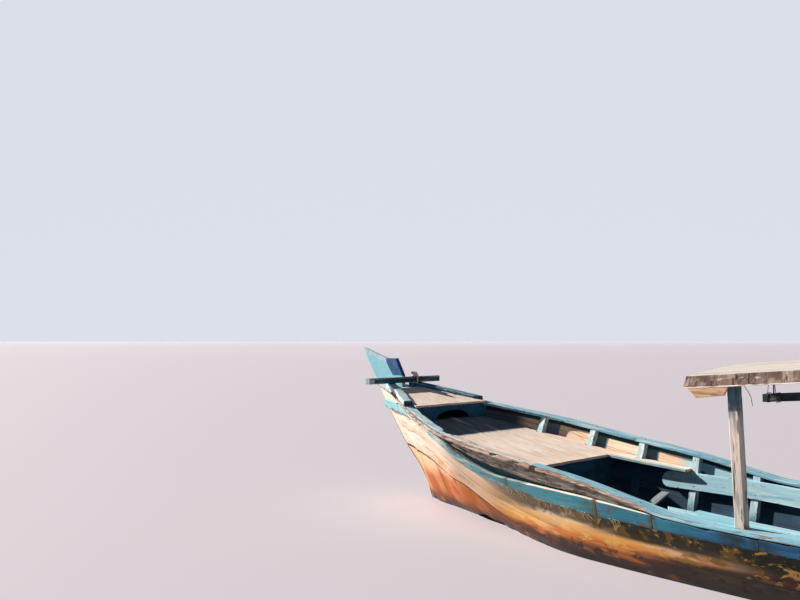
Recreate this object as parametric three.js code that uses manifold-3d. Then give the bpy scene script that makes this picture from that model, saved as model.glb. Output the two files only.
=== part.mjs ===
// A wooden longtail boat, afloat: planked hull with a board prow, open cockpit under a crowned
// canopy, and a motor on the stern with its long tail raised out of the water.
//
// Millimetres. +X points to the bow, +Y to port, +Z up. The origin lies on the waterline and the
// centre plane, midway along the waterline. Places along the hull are given as s, the distance aft
// of the point where the stem meets the water, so x = STEM_X - s.

import * as THREE from 'three';
import { mergeVertices } from 'three/addons/utils/BufferGeometryUtils.js';
import Module from 'manifold-3d';

const wasm = await Module();
wasm.setup();

// Driving dimensions
const STEM_X = 4300;          // x of the stem at the waterline
const GAP = 0.3;              // clearance between touching pieces
const WALL = 30;              // hull planking
const STEM_HALF = 25;         // half the thickness of the prow board
const NOSE_PLANK = 12;        // least thickness of wood on each side of it
const BOW_FLARE = 0.95;       // how full the section is above the water: 1 is a straight flare
const CAP_WIDTH = 150;        // cap rail board
const CAP_THICK = 28;
const CAP_OVERHANG = 50;      // cap rail's outer edge beyond the planking
const WALE_PROUD = 50;
const BULWARK_PROUD = 25;
const RIB_WIDTH = 75;
const RIB_DEPTH = 60;
const RIB_FIRST = 820;        // s of the first rib
const RIB_PITCH = 576;
const RIB_COUNT = 12;
const TRANSOM_S = 8600;

// Lines of the hull. columns: s, value
const CAP_HALF_BREADTH = [
  [-980, 62], [-900, 120], [-400, 345], [100, 620], [600, 865], [1100, 1030], [1600, 1062],
  [2600, 1062], [3600, 1060], [4600, 1042], [5600, 1030], [6600, 990], [7600, 880], [8600, 680],
];
const CAP_HEIGHT = [
  [-980, 1245], [-900, 1230], [-400, 1150], [100, 1045], [600, 950], [1100, 865], [1600, 788],
  [2100, 722], [2600, 655], [3100, 562], [3350, 517], [3700, 500], [4100, 495], [4600, 492],
  [5600, 485], [6600, 480], [7600, 515], [8600, 590],
];
const WATERLINE_HALF_BREADTH = [
  [-100, 26], [0, 45], [200, 125], [450, 185], [700, 225], [900, 275], [1130, 335], [1460, 485],
  [1850, 660], [2250, 795], [2600, 850], [3200, 868], [4600, 855], [6000, 820], [7200, 700],
  [8600, 430],
];
// How full the section is above the water, aft of the stem's foot: 1 is a straight flare
const SIDE_FLARE = [
  [-200, 0.95], [0, 0.95], [500, 0.8], [900, 0.63], [1200, 0.68], [2200, 1.05], [3000, 1.05],
];
const KEEL_HEIGHT = [
  [-1000, 1245], [-973, 1210], [-848, 1026], [-774, 930], [-613, 720], [-462, 542], [-210, 293],
  [-106, 137], [-34, -20], [150, -140], [600, -220], [1500, -280], [3000, -300], [6000, -300],
  [8600, -150],
];
const LOG_SEAM_HEIGHT = [
  [-462, 548], [-100, 535], [200, 536], [400, 522], [550, 492], [700, 450], [880, 412], [1030, 378],
  [1220, 290], [1430, 180], [1700, 78], [2045, 5], [2600, -60], [4000, -100], [6000, -100], [8600, 0],
];
const WALE_FOOT_HEIGHT = [
  [-780, 955], [-611, 938], [-100, 941], [200, 952], [400, 926], [550, 895], [700, 858], [880, 808],
  [1030, 742], [1220, 620], [1430, 538], [1700, 485], [2100, 432], [2550, 403], [2800, 391],
  [3400, 386], [3800, 379], [4300, 375], [5600, 350], [6600, 346], [7600, 372], [8600, 445],
];
const WALE_TOP_HEIGHT = [
  [-780, 1050], [-450, 1042], [-100, 1042], [200, 1003], [400, 957], [550, 931], [700, 905],
  [880, 866], [1030, 820], [1220, 726], [1430, 630], [1700, 565], [2100, 550], [2550, 538],
  [2800, 524], [3100, 504], [3400, 488], [3700, 469], [4600, 461], [8600, 560],
];
const BULWARK_FOOT_HEIGHT = [
  [700, 918], [1030, 832], [1220, 760], [1430, 695], [1700, 641], [2100, 582], [2550, 548],
  [2800, 528], [3100, 509], [3600, 474],
];
const DECK_HEIGHT = [
  [-60, 925], [250, 865], [820, 735], [1350, 650], [1720, 590], [2620, 515],
];
const BILGE_TOP_HEIGHT = [
  [760, 140], [1400, 115], [1740, 50], [2050, 20], [2600, -45], [6600, -45], [7250, -20],
];
const STRINGER_TOP_HEIGHT = [
  [2250, 490], [3100, 485], [3700, 458], [4300, 440], [5600, 428], [6600, 425], [7300, 442],
];

// A smooth curve through a table's rows, straight on past its ends.
function along(table, s) {
  const last = table.length - 1;
  let i = 0;
  while (i < last - 1 && s > table[i + 1][0]) i += 1;
  const slope = (a, b) => (table[b][1] - table[a][1]) / (table[b][0] - table[a][0]);
  const tangent = (k) => {
    if (k === 0) return slope(0, 1);
    if (k === last) return slope(last - 1, last);
    const before = slope(k - 1, k);
    const after = slope(k, k + 1);
    return before * after <= 0 ? 0 : (2 * before * after) / (before + after);
  };
  const [s0, v0] = table[i];
  const [s1, v1] = table[i + 1];
  if (s <= s0) return v0 + (s - s0) * tangent(i);
  if (s >= s1) return v1 + (s - s1) * tangent(i + 1);
  const span = s1 - s0;
  const t = (s - s0) / span;
  const rise = t * t * (3 - 2 * t);
  const lean = t * (1 - t) ** 2 * tangent(i) - t * t * (1 - t) * tangent(i + 1);
  return v0 + (v1 - v0) * rise + span * lean;
}

const point = (s, y, z) => new THREE.Vector3(STEM_X - s, y, z);

// Half-breadth of the planking's outer face: a quarter ellipse below the water, a flare above it.
function halfBreadth(s, z) {
  const keel = along(KEEL_HEIGHT, s);
  const top = along(CAP_HEIGHT, s) - CAP_THICK;
  const nose = STEM_HALF + NOSE_PLANK;
  const skinTop = Math.max(along(CAP_HALF_BREADTH, s) - CAP_OVERHANG, nose);
  if (keel >= 0) {
    const t = Math.min(Math.max((z - keel) / (top - keel), 0), 1);
    return nose + (skinTop - nose) * t ** BOW_FLARE;
  }
  const water = Math.max(along(WATERLINE_HALF_BREADTH, s), nose);
  if (z >= 0) return water + (skinTop - water) * Math.min(z / top, 1) ** along(SIDE_FLARE, s);
  return Math.max(water * Math.sqrt(Math.max(1 - (z / keel) ** 2, 0)), 0);
}

// Levels of a section, from the keel to the cap rail
const LOG_FRACTIONS = [0, 0.04, 0.15, 0.4, 1];
const SEAM = 4;               // level of the log's seam
const WALE_FOOT = 6;
const WALE_TOP = 7;
const TOP = 9;
const LEVEL_STEP = 4;         // least height between two levels
const LOG_TIP = -462;         // s where the log's seam meets the stem

function section(s) {
  const keel = along(KEEL_HEIGHT, s);
  const cap = along(CAP_HEIGHT, s) - CAP_THICK - GAP;
  const seam = Math.max(along(LOG_SEAM_HEIGHT, Math.max(s, LOG_TIP)), keel + LEVEL_STEP);
  const heights = LOG_FRACTIONS.map((f) => keel + (seam - keel) * f);
  const foot = along(WALE_FOOT_HEIGHT, s);
  const waleTop = along(WALE_TOP_HEIGHT, s);
  const above = [(seam + foot) / 2, foot, waleTop, along(BULWARK_FOOT_HEIGHT, s), cap];
  above.forEach((z, i) => {
    const room = (above.length - 1 - i) * LEVEL_STEP;
    heights.push(Math.max(Math.min(z, cap - room), heights[heights.length - 1] + LEVEL_STEP));
  });
  heights[TOP] = Math.max(heights[TOP], cap);
  return heights.map((z, i) => {
    const y = halfBreadth(s, z);
    return { y: i === 0 ? Math.min(STEM_HALF, y + 2) : y, z };
  });
}

// Places of the bulkheads, the main deck's aft edge and the transom
const BULKHEAD_THICK = 22;
const FORE_BULKHEAD_S = 186;
const MID_BULKHEAD_S = 1684;
const AFT_BULKHEAD_S = 7600;
const TRANSOM_THICK = 40;
const DECK_AFT = 1720;

// Stations of the hull: bow and stern by hand, and both faces of each bulkhead and rib
const ribs = Array.from({ length: RIB_COUNT }, (_, i) => RIB_FIRST + RIB_PITCH * i);
const STATIONS = [
  -950, -860, -780, -660, -550, -440, -300, -150, -40, 80, 380, 580, 1100, DECK_AFT,
  ...[FORE_BULKHEAD_S, MID_BULKHEAD_S, AFT_BULKHEAD_S].flatMap((s) => [s, s + BULKHEAD_THICK]),
  ...ribs.flatMap((s) => [s - RIB_WIDTH / 2, s + RIB_WIDTH / 2]),
  8100, TRANSOM_S - TRANSOM_THICK, TRANSOM_S,
].sort((a, b) => a - b);
const SECTIONS = STATIONS.map(section);

// A section between two stations, on the flat faces of the planking.
function sectionAt(s) {
  let i = 0;
  while (i < STATIONS.length - 2 && s > STATIONS[i + 1]) i += 1;
  const t = (s - STATIONS[i]) / (STATIONS[i + 1] - STATIONS[i]);
  return SECTIONS[i].map((a, k) => {
    const b = SECTIONS[i + 1][k];
    return { y: a.y + (b.y - a.y) * t, z: a.z + (b.z - a.z) * t };
  });
}

// A level moved into the hull: level with itself on the planking, square to the skin on the log.
function inset(levels, k, depth) {
  const { y, z } = levels[k];
  if (k >= SEAM) return { y: Math.max(y - depth, STEM_HALF + GAP), z };
  if (k === 0) return { y: 0, z: z + depth };
  const dy = levels[k + 1].y - levels[k - 1].y;
  const dz = levels[k + 1].z - levels[k - 1].z;
  const length = Math.hypot(dy, dz);
  return { y: Math.max(y - (depth * dz) / length, 0), z: z + (depth * dy) / length };
}

// Half-breadth of the planking's inner face at a height.
function innerY(s, z, depth = WALL + 1) {
  const levels = sectionAt(s);
  const inner = levels.map((_, k) => inset(levels, k, depth));
  for (let k = 1; k < inner.length - 1; k += 1) {
    if (z <= inner[k + 1].z) {
      const t = (z - inner[k].z) / (inner[k + 1].z - inner[k].z);
      return inner[k].y + (inner[k + 1].y - inner[k].y) * t;
    }
  }
  return inner[inner.length - 1].y;
}

const between = (s0, s1) => [s0, ...STATIONS.filter((s) => s > s0 + 1 && s < s1 - 1), s1];

// Geometry helpers
function outward(geometry) {
  let g = geometry;
  g.deleteAttribute('normal');
  g.deleteAttribute('uv');
  g = mergeVertices(g, 1e-3);
  const p = g.attributes.position;
  const index = Array.from(g.index.array);
  const kept = [];
  for (let i = 0; i < index.length; i += 3) {
    const [a, b, c] = [index[i], index[i + 1], index[i + 2]];
    if (a !== b && b !== c && c !== a) kept.push(a, b, c);
  }
  let volume = 0;
  const [A, B, C] = [new THREE.Vector3(), new THREE.Vector3(), new THREE.Vector3()];
  for (let i = 0; i < kept.length; i += 3) {
    A.fromBufferAttribute(p, kept[i]);
    B.fromBufferAttribute(p, kept[i + 1]);
    C.fromBufferAttribute(p, kept[i + 2]);
    volume += A.dot(B.cross(C));
  }
  if (volume < 0) {
    for (let i = 0; i < kept.length; i += 3) [kept[i + 1], kept[i + 2]] = [kept[i + 2], kept[i + 1]];
  }
  g.setIndex(kept);
  g.computeVertexNormals();
  return g;
}

// Triangles over one end section, turned against its corners' order or with it.
function endFace(ring, against) {
  const flat = ring.map((v) => new THREE.Vector2(v.y, v.z));
  const triangles = THREE.ShapeUtils.triangulateShape(flat, []);
  const area = ([a, b, c]) => THREE.ShapeUtils.area([flat[a], flat[b], flat[c]]);
  const withOrder = triangles.reduce((sum, t) => sum + area(t), 0) * THREE.ShapeUtils.area(flat) > 0;
  return triangles.flatMap(([a, b, c]) => (withOrder === against ? [a, c, b] : [a, b, c]));
}

// A closed body through like sections, each an array of corner points in order. Each side face is
// split along its shorter diagonal, so that neighbours follow each other's facets.
function loft(rings) {
  const n = rings[0].length;
  const corners = rings.flat();
  const positions = corners.flatMap((v) => [v.x, v.y, v.z]);
  const index = [];
  for (let r = 0; r < rings.length - 1; r += 1) {
    for (let i = 0; i < n; i += 1) {
      const a = r * n + i;
      const b = r * n + ((i + 1) % n);
      const shorter = corners[a].distanceTo(corners[b + n]) < corners[b].distanceTo(corners[a + n]) - 0.01;
      if (shorter) index.push(a, b, b + n, a, b + n, a + n);
      else index.push(a, b, a + n, b, b + n, a + n);
    }
  }
  const end = (rings.length - 1) * n;
  index.push(...endFace(rings[0], true), ...endFace(rings[rings.length - 1], false).map((i) => i + end));
  const g = new THREE.BufferGeometry();
  g.setAttribute('position', new THREE.Float32BufferAttribute(positions, 3));
  g.setIndex(index);
  return outward(g);
}

function rectangle(s, y0, y1, z0, z1) {
  return [point(s, y0, z0), point(s, y1, z0), point(s, y1, z1), point(s, y0, z1)];
}

function box(s0, s1, y0, y1, z0, z1) {
  return loft([rectangle(s0, y0, y1, z0, z1), rectangle(s1, y0, y1, z0, z1)]);
}

// A closed body through four-cornered sections that face any way.
function fourSided(rings) {
  const index = [];
  for (let r = 0; r < rings.length - 1; r += 1) {
    for (let i = 0; i < 4; i += 1) {
      const a = r * 4 + i;
      const b = r * 4 + ((i + 1) % 4);
      index.push(a, b, a + 4, b, b + 4, a + 4);
    }
  }
  const end = (rings.length - 1) * 4;
  index.push(0, 2, 1, 0, 3, 2, end, end + 1, end + 2, end, end + 2, end + 3);
  const positions = rings.flat().flatMap((v) => [v.x, v.y, v.z]);
  const g = new THREE.BufferGeometry();
  g.setAttribute('position', new THREE.Float32BufferAttribute(positions, 3));
  g.setIndex(index);
  return outward(g);
}

const sideOn = (s, z, y) => point(s, y, z);
const flatPoints = (corners) => corners.map(([a, b]) => new THREE.Vector2(a, b));

// An outline of [a, b] corners, with holes, made into a slab between c0 and c1.
function slab(corners, c0, c1, place, holes = []) {
  const shape = new THREE.Shape(flatPoints(corners));
  holes.forEach((hole) => shape.holes.push(new THREE.Path(flatPoints(hole))));
  const g = new THREE.ExtrudeGeometry(shape, { depth: c1 - c0, bevelEnabled: false });
  const p = g.attributes.position;
  for (let i = 0; i < p.count; i += 1) {
    const v = place(p.getX(i), p.getY(i), c0 + p.getZ(i));
    p.setXYZ(i, v.x, v.y, v.z);
  }
  return outward(g);
}

function solid(geometry) {
  return new wasm.Manifold(new wasm.Mesh({
    numProp: 3,
    vertProperties: new Float32Array(geometry.attributes.position.array),
    triVerts: new Uint32Array(geometry.index.array),
  }));
}

function geometryOf(body) {
  const m = body.getMesh();
  const g = new THREE.BufferGeometry();
  g.setAttribute('position', new THREE.BufferAttribute(new Float32Array(m.vertProperties), 3));
  g.setIndex(Array.from(m.triVerts));
  return outward(g);
}

const join = (...parts) => geometryOf(parts.map(solid).reduce((a, b) => a.add(b)));
const cut = (part, ...tools) => geometryOf(tools.map(solid).reduce((a, b) => a.subtract(b), solid(part)));

function mirrored(geometry) {
  const g = geometry.clone();
  const p = g.attributes.position;
  for (let i = 0; i < p.count; i += 1) p.setY(i, -p.getY(i));
  return outward(g);
}

// Materials
function paint(color, roughness = 0.75, metalness = 0) {
  return new THREE.MeshStandardMaterial({ color, roughness, metalness });
}
const BLUE = paint('#4f93ad');
const PALE_BLUE = paint('#a9cdd8');
const TEAL = paint('#2f6478');
const CREAM = paint('#e6cfb4');
const BARE_WOOD = paint('#8d7a68', 0.85);
const ORANGE_WOOD = paint('#c8793f', 0.8);
const ROOF_WHITE = paint('#e9e6d6');
const STEEL = paint('#7b7f82', 0.45, 0.9);
const ENGINE_PAINT = paint('#5d6f63', 0.6, 0.2);
const BRASS = paint('#b0894a', 0.4, 0.9);

const boat = new THREE.Group();
boat.name = 'longtail_boat';

function add(name, geometry, material) {
  const mesh = new THREE.Mesh(geometry, material);
  mesh.name = name;
  boat.add(mesh);
  return mesh;
}

function addPair(name, geometry, material) {
  add(`${name}_port`, geometry, material);
  add(`${name}_starboard`, mirrored(geometry), material);
}

// Keel log: carved bottom of the hull, solid at the nose, hollow behind it
const LOG_FORE = -440;
const GROOVE_START = 75;      // half-breadth of the log where the hollow begins
const GROOVE_FULL = 220;      // and how much more it takes to the hollow's full depth
const LEAST_GROOVE = 0.05;

function logRing(s) {
  const levels = sectionAt(s);
  const seam = levels[SEAM];
  const top = { y: seam.y, z: seam.z - GAP / 2 };
  const low = [...levels.slice(0, SEAM), top];
  const inner = low.map((p, k) => {
    if (seam.y < GROOVE_FULL) {
      const q = Math.max((seam.y - GROOVE_START) / GROOVE_FULL, LEAST_GROOVE);
      return { y: k === 0 ? 0 : p.y * q, z: top.z - (seam.z - p.z) * q };
    }
    const inside = inset(levels, k, WALL);
    return k === SEAM ? { y: inside.y, z: top.z } : inside;
  });
  return [
    ...low.slice().reverse().map((p) => point(s, p.y, p.z)),
    ...low.map((p) => point(s, -p.y, p.z)),
    ...inner.slice(1).reverse().map((p) => point(s, -p.y, p.z)),
    ...inner.map((p) => point(s, p.y, p.z)),
  ];
}
add('keel_log', loft(between(LOG_FORE, TRANSOM_S).map(logRing)), ORANGE_WOOD);

// Side planking, from the log's seam, or the stem, up to the cap rail
const PLANK_FORE = -950;
function plankRing(s) {
  const levels = sectionAt(s);
  const from = levels.slice(SEAM).map((p, k) => (k === 0 ? { y: p.y, z: p.z + GAP / 2 } : p));
  const inner = from.map((p, k) => ({ y: inset(levels, SEAM + k, WALL).y, z: p.z }));
  return [...from.map((p) => point(s, p.y, p.z)), ...inner.reverse().map((p) => point(s, p.y, p.z))];
}
const PLANK_JOINT = 3180;     // s where the fore and aft lengths of the planking meet, end to end
const foreLength = between(PLANK_FORE, PLANK_JOINT - GAP / 2);
const aftLength = between(PLANK_JOINT + GAP / 2, TRANSOM_S);
addPair('side_planks_fore', loft(foreLength.map(plankRing)), CREAM);
addPair('side_planks_aft', loft(aftLength.map(plankRing)), CREAM);

// Strips on the planking's outer face, between two levels
const WALE_FORE = -780;
const BULWARK_FORE = 760;
const BULWARK_AFT = 3180;
function stripRing(s, low, high, proud) {
  const levels = sectionAt(s);
  const a = levels[low];
  const b = levels[high];
  return [
    point(s, a.y + GAP, a.z), point(s, b.y + GAP, b.z),
    point(s, b.y + proud, b.z), point(s, a.y + proud, a.z),
  ];
}
const waleRing = (s) => stripRing(s, WALE_FOOT, WALE_TOP, WALE_PROUD);
const bulwarkRing = (s) => stripRing(s, TOP - 1, TOP, BULWARK_PROUD);
addPair('wale', loft(between(WALE_FORE, TRANSOM_S).map(waleRing)), BLUE);
addPair('bulwark', loft(between(BULWARK_FORE, BULWARK_AFT).map(bulwarkRing)), BARE_WOOD);

// Cap rails, boards laid on top of the planking and the ribs
const capOuter = (s) => along(CAP_HALF_BREADTH, s);
function capLine(s) {
  let i = 0;
  while (i < STATIONS.length - 2 && s > STATIONS[i + 1]) i += 1;
  const t = (s - STATIONS[i]) / (STATIONS[i + 1] - STATIONS[i]);
  const mix = (f) => f(STATIONS[i]) + (f(STATIONS[i + 1]) - f(STATIONS[i])) * t;
  return { y: mix(capOuter), z: mix((v) => along(CAP_HEIGHT, v)) };
}
function capRing(s) {
  const { y, z } = capLine(s);
  return rectangle(s, Math.max(y - CAP_WIDTH, STEM_HALF + GAP), y, z - CAP_THICK, z);
}
addPair('cap_rail', loft(between(PLANK_FORE, TRANSOM_S).map(capRing)), PALE_BLUE);

// Prow board, on the centre plane above the log. columns: s, z
const BEAM_S = -530;
const BEAM_SIZE = 66;
const BEAM_PORT_END = 578;    // the beam lies a little to port
const BEAM_STARBOARD_END = -514;
const TOE_FORE = -610;
const TOE_AFT = 110;
const TOE_WIDTH = 120;
const TOE_FORE_HEIGHT = 62;   // the toe rails thin down towards the stern
const TOE_AFT_HEIGHT = 48;
const TOE_INSET = 15;
function toeTop(s) {
  const t = (s - TOE_FORE) / (TOE_AFT - TOE_FORE);
  return capLine(s).z + TOE_FORE_HEIGHT + (TOE_AFT_HEIGHT - TOE_FORE_HEIGHT) * t;
}
const beamFore = BEAM_S - BEAM_SIZE / 2;
const beamBottom = toeTop(beamFore) + GAP;
const beamTop = beamBottom + BEAM_SIZE;
const slotEdge = beamFore - 2;
const PROW = [
  [-1279, 1636], [-1202, 1512], [-1062, 1319], [-973, 1214], [-848, 1026], [-774, 930], [-613, 720],
  [-466, 549], [-330, 549], [slotEdge, 1190], [slotEdge, beamTop + 12], [-685, 1515], [-856, 1512],
];
add('prow_board', slab(PROW, -STEM_HALF, STEM_HALF, sideOn), BLUE);

// Toe rails on the cap rails, and the beam that lies across them behind the prow board
function toeRing(s) {
  const { y, z } = capLine(s);
  return rectangle(s, y - TOE_INSET - TOE_WIDTH, y - TOE_INSET, z + GAP, toeTop(s));
}
addPair('toe_rail', loft(between(TOE_FORE, TOE_AFT).map(toeRing)), BLUE);
const beamAft = beamFore + BEAM_SIZE;
const beam = box(beamFore, beamAft, BEAM_STARBOARD_END, BEAM_PORT_END, beamBottom, beamTop);
add('crossbeam', beam, TEAL);

// Foredeck planks, laid on the cap rails' inner edges
const FOREDECK_THICK = 22;
const FOREDECK_AFT = 210;
function foredeckRing(s) {
  const { y, z } = capLine(s);
  const half = y - TOE_INSET - TOE_WIDTH - 2;
  return rectangle(s, -half, half, z + GAP, z + FOREDECK_THICK);
}
add('foredeck', loft(between(beamAft + 4, FOREDECK_AFT).map(foredeckRing)), CREAM);

// Main deck, notched round the ribs, with a narrowing shelf on each side of the cockpit
const DECK_THICK = 25;
const DECK_FORE = -40;
const DECK_CLEAR = 5;         // between the deck's edge and the planking
const SHELF_AFT = 2640;
const NOTCH = RIB_WIDTH / 2 + 1;
const deckZ = (s) => along(DECK_HEIGHT, s);
const deckEdge = (s) => innerY(s, deckZ(s) - DECK_THICK, WALL + DECK_CLEAR);

// Places and half-breadths of a deck's edge, stepping in at each rib.
function notchedEdge(s0, s1, edge) {
  const inRib = (s) => ribs.some((r) => Math.abs(s - r) < NOTCH - 0.01);
  const places = between(s0, s1).filter((s) => !inRib(s)).map((s) => [s, edge(s)]);
  ribs.filter((r) => r > s0 && r < s1).forEach((r) => {
    const inner = Math.min(edge(r - NOTCH), edge(r + NOTCH)) - RIB_DEPTH - 2;
    const end = Math.min(r + NOTCH, s1);
    places.push([r - NOTCH, edge(r - NOTCH)], [r - NOTCH, inner], [end, inner]);
    if (end < s1) places.push([end, edge(end)]);
  });
  return places.sort((a, b) => a[0] - b[0]);
}
const deckRing = (s, a, b) => rectangle(s, a, b, deckZ(s) - DECK_THICK, deckZ(s));
const deckBody = loft(notchedEdge(DECK_FORE, DECK_AFT, deckEdge).map(([s, y]) => deckRing(s, -y, y)));

// Half-breadth of a shelf's inner edge, which runs out towards the ribs, going aft.
const SHELF_INNER_FORE = 700;
const SHELF_INNER_AFT = 800;
function shelfInner(s) {
  const t = Math.max((s - DECK_AFT) / (SHELF_AFT - DECK_AFT), 0);
  return SHELF_INNER_FORE + (SHELF_INNER_AFT - SHELF_INNER_FORE) * t;
}
const SHELF_LAP = 20;
const shelfEdge = notchedEdge(DECK_AFT - SHELF_LAP, ribs[3] - NOTCH, deckEdge);
const shelf = loft(shelfEdge.map(([s, y]) => deckRing(s, shelfInner(s), y)));
add('main_deck', join(deckBody, shelf, mirrored(shelf)), CREAM);

// Ribs of one side, joined by the bilge stringer at their feet and the stringer under the rail
const RIB_FOOT = 3;
function ribRing(s) {
  const levels = sectionAt(s);
  const span = levels.map((_, k) => k).slice(RIB_FOOT);
  const outer = span.map((k) => inset(levels, k, WALL + 2 * GAP)).reverse();
  const inner = span.map((k) => inset(levels, k, WALL + RIB_DEPTH));
  return [...outer, ...inner].map((p) => point(s, p.y, p.z));
}
const STRINGER_FORE = 2250;
const STRINGER_AFT = ribs[RIB_COUNT - 1] + 90;
const BILGE_FORE = ribs[0] - 60;
const STRINGER_DEPTH = 155;
const STRINGER_THICK = 24;
const STRINGER_BITE = 6;      // how far the stringers are let into the ribs
const BILGE_DEPTH = 70;
const BILGE_THICK = 34;

function stringerRing(s, zTop, depth, thick, margin = 0) {
  const y = (z) => innerY(s, z, WALL + RIB_DEPTH - STRINGER_BITE);
  const low = zTop - depth;
  return [
    point(s, y(low) + margin, low - margin), point(s, y(zTop) + margin, zTop + margin),
    point(s, y(zTop) - thick - margin, zTop + margin), point(s, y(low) - thick - margin, low - margin),
  ];
}
const faces = ribs.flatMap((s) => [s - RIB_WIDTH / 2, s + RIB_WIDTH / 2]);

// Stringers run straight from rib to rib.
function fromRibToRib(table, s) {
  const fore = Math.max(table[0][0], ...faces.filter((f) => f <= s));
  const aft = Math.min(...faces.filter((f) => f > s), STRINGER_AFT);
  const v0 = along(table, fore);
  return aft > fore ? v0 + ((along(table, aft) - v0) * (s - fore)) / (aft - fore) : v0;
}
const stringerTop = (s) => fromRibToRib(STRINGER_TOP_HEIGHT, s);
const bilgeTop = (s) => fromRibToRib(BILGE_TOP_HEIGHT, s);
const upper = loft([STRINGER_FORE, ...faces.filter((s) => s > STRINGER_FORE), STRINGER_AFT]
  .map((s) => stringerRing(s, stringerTop(s), STRINGER_DEPTH, STRINGER_THICK)));
const bilgeRing = (s, margin = 0) => stringerRing(s, bilgeTop(s), BILGE_DEPTH, BILGE_THICK, margin);
const bilge = loft([BILGE_FORE, ...faces, STRINGER_AFT].map((s) => bilgeRing(s)));
const ribBodies = ribs.map((s) => loft([ribRing(s - RIB_WIDTH / 2), ribRing(s + RIB_WIDTH / 2)]));
addPair('ribs', join(bilge, ...ribBodies, upper), PALE_BLUE);

// Bulkheads under the edges of the decks, each with an arched opening
const ARCH_STEPS = 10;
function arch(y, zFoot, halfWidth, rise) {
  return Array.from({ length: ARCH_STEPS + 1 }, (_, i) => {
    const turn = (Math.PI * i) / ARCH_STEPS;
    return [y - halfWidth * Math.cos(turn), zFoot + rise * Math.sin(turn)];
  });
}
const acrossX = (s0) => (y, z, c) => point(s0 + c, y, z);

const foreFoot = deckZ(FORE_BULKHEAD_S) + GAP;
const foreTop = capLine(FORE_BULKHEAD_S + BULKHEAD_THICK).z - GAP;
const foreHalf = (z) => innerY(FORE_BULKHEAD_S, Math.min(z, foreTop - CAP_THICK));
const foreCapEdge = capLine(FORE_BULKHEAD_S).y - CAP_WIDTH - 2;
const foreShoulder = foreTop - CAP_THICK - 2;
const FORE_ARCH = { y: -25, halfWidth: 255, rise: 95 };
const foreArch = arch(FORE_ARCH.y, foreFoot, FORE_ARCH.halfWidth, FORE_ARCH.rise);
const foreOutline = [
  [-foreHalf(foreFoot), foreFoot], ...foreArch, [foreHalf(foreFoot), foreFoot],
  [foreHalf(foreShoulder), foreShoulder], [foreCapEdge, foreShoulder], [foreCapEdge, foreTop],
  [-foreCapEdge, foreTop], [-foreCapEdge, foreShoulder], [-foreHalf(foreShoulder), foreShoulder],
];
add('fore_bulkhead', slab(foreOutline, 0, BULKHEAD_THICK, acrossX(FORE_BULKHEAD_S)), TEAL);

// A panel that fills the hull up to a height, following its inner face
const PANEL_DEPTH = WALL + 2 * GAP;
const LEVEL_CLEAR = 20;       // a level this near the panel's top is left out
const bothSides = (s, side) => [
  ...side.map((p) => point(s, p.y, p.z)), ...side.slice(1).reverse().map((p) => point(s, -p.y, p.z)),
];
function panelRing(s, zTop) {
  const levels = sectionAt(s);
  const inner = levels.map((_, k) => inset(levels, k, PANEL_DEPTH));
  const lower = inner.filter((p, k) => k < SEAM || p.z < zTop - LEVEL_CLEAR);
  return bothSides(s, [...lower, { y: innerY(s, zTop, PANEL_DEPTH), z: zTop }]);
}
const ARCH_HALF_WIDTH = 150;
const ARCH_RISE = 120;
const ARCH_SIDE = 220;        // height of the opening's upright sides
function archedBulkhead(s, zTop, zSill, ...notches) {
  const panel = loft([panelRing(s, zTop), panelRing(s + BULKHEAD_THICK, zTop)]);
  const curve = arch(0, zSill + ARCH_SIDE, ARCH_HALF_WIDTH, ARCH_RISE);
  const opening = [...curve, [ARCH_HALF_WIDTH, zSill], [-ARCH_HALF_WIDTH, zSill]];
  const margin = BULKHEAD_THICK / 2;
  return cut(panel, slab(opening, -margin, BULKHEAD_THICK + margin, acrossX(s)), ...notches);
}
const midTop = deckZ(MID_BULKHEAD_S + BULKHEAD_THICK) - DECK_THICK - GAP - 1;
const MID_SILL = 160;
const NOTCH_CLEAR = 2;
const notchPlaces = [ribs[1] + RIB_WIDTH / 2, ribs[2] - RIB_WIDTH / 2];
const bilgeNotch = loft(notchPlaces.map((s) => bilgeRing(s, NOTCH_CLEAR)));
const midBulkhead = archedBulkhead(MID_BULKHEAD_S, midTop, MID_SILL, bilgeNotch, mirrored(bilgeNotch));
add('mid_bulkhead', midBulkhead, BLUE);

const AFT_DECK_TOP = along(CAP_HEIGHT, AFT_BULKHEAD_S);
const AFT_DECK_THICK = 30;
const AFT_SILL = 40;
const aftTop = AFT_DECK_TOP - AFT_DECK_THICK - GAP;
add('aft_bulkhead', archedBulkhead(AFT_BULKHEAD_S, aftTop, AFT_SILL), BLUE);

// Aft deck, level, fitted between the cap rails, and the transom behind it
const transomFore = TRANSOM_S - TRANSOM_THICK;
const DECK_NOSE = 15;         // the deck's edge stands this far ahead of the bulkhead
const aftDeckPlaces = between(AFT_BULKHEAD_S - DECK_NOSE, transomFore - GAP);
function aftDeckRing(s) {
  const edge = Math.min(capLine(s).y - CAP_WIDTH - 2, innerY(s, aftTop + GAP) - 1);
  return rectangle(s, -edge, edge, AFT_DECK_TOP - AFT_DECK_THICK, AFT_DECK_TOP);
}
add('aft_deck', loft(aftDeckPlaces.map(aftDeckRing)), CREAM);

function transomRing(s) {
  const levels = sectionAt(s);
  return bothSides(s, levels.map((_, k) => inset(levels, k, PANEL_DEPTH)));
}
add('transom', loft([transomRing(transomFore), transomRing(TRANSOM_S)]), BLUE);

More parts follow.
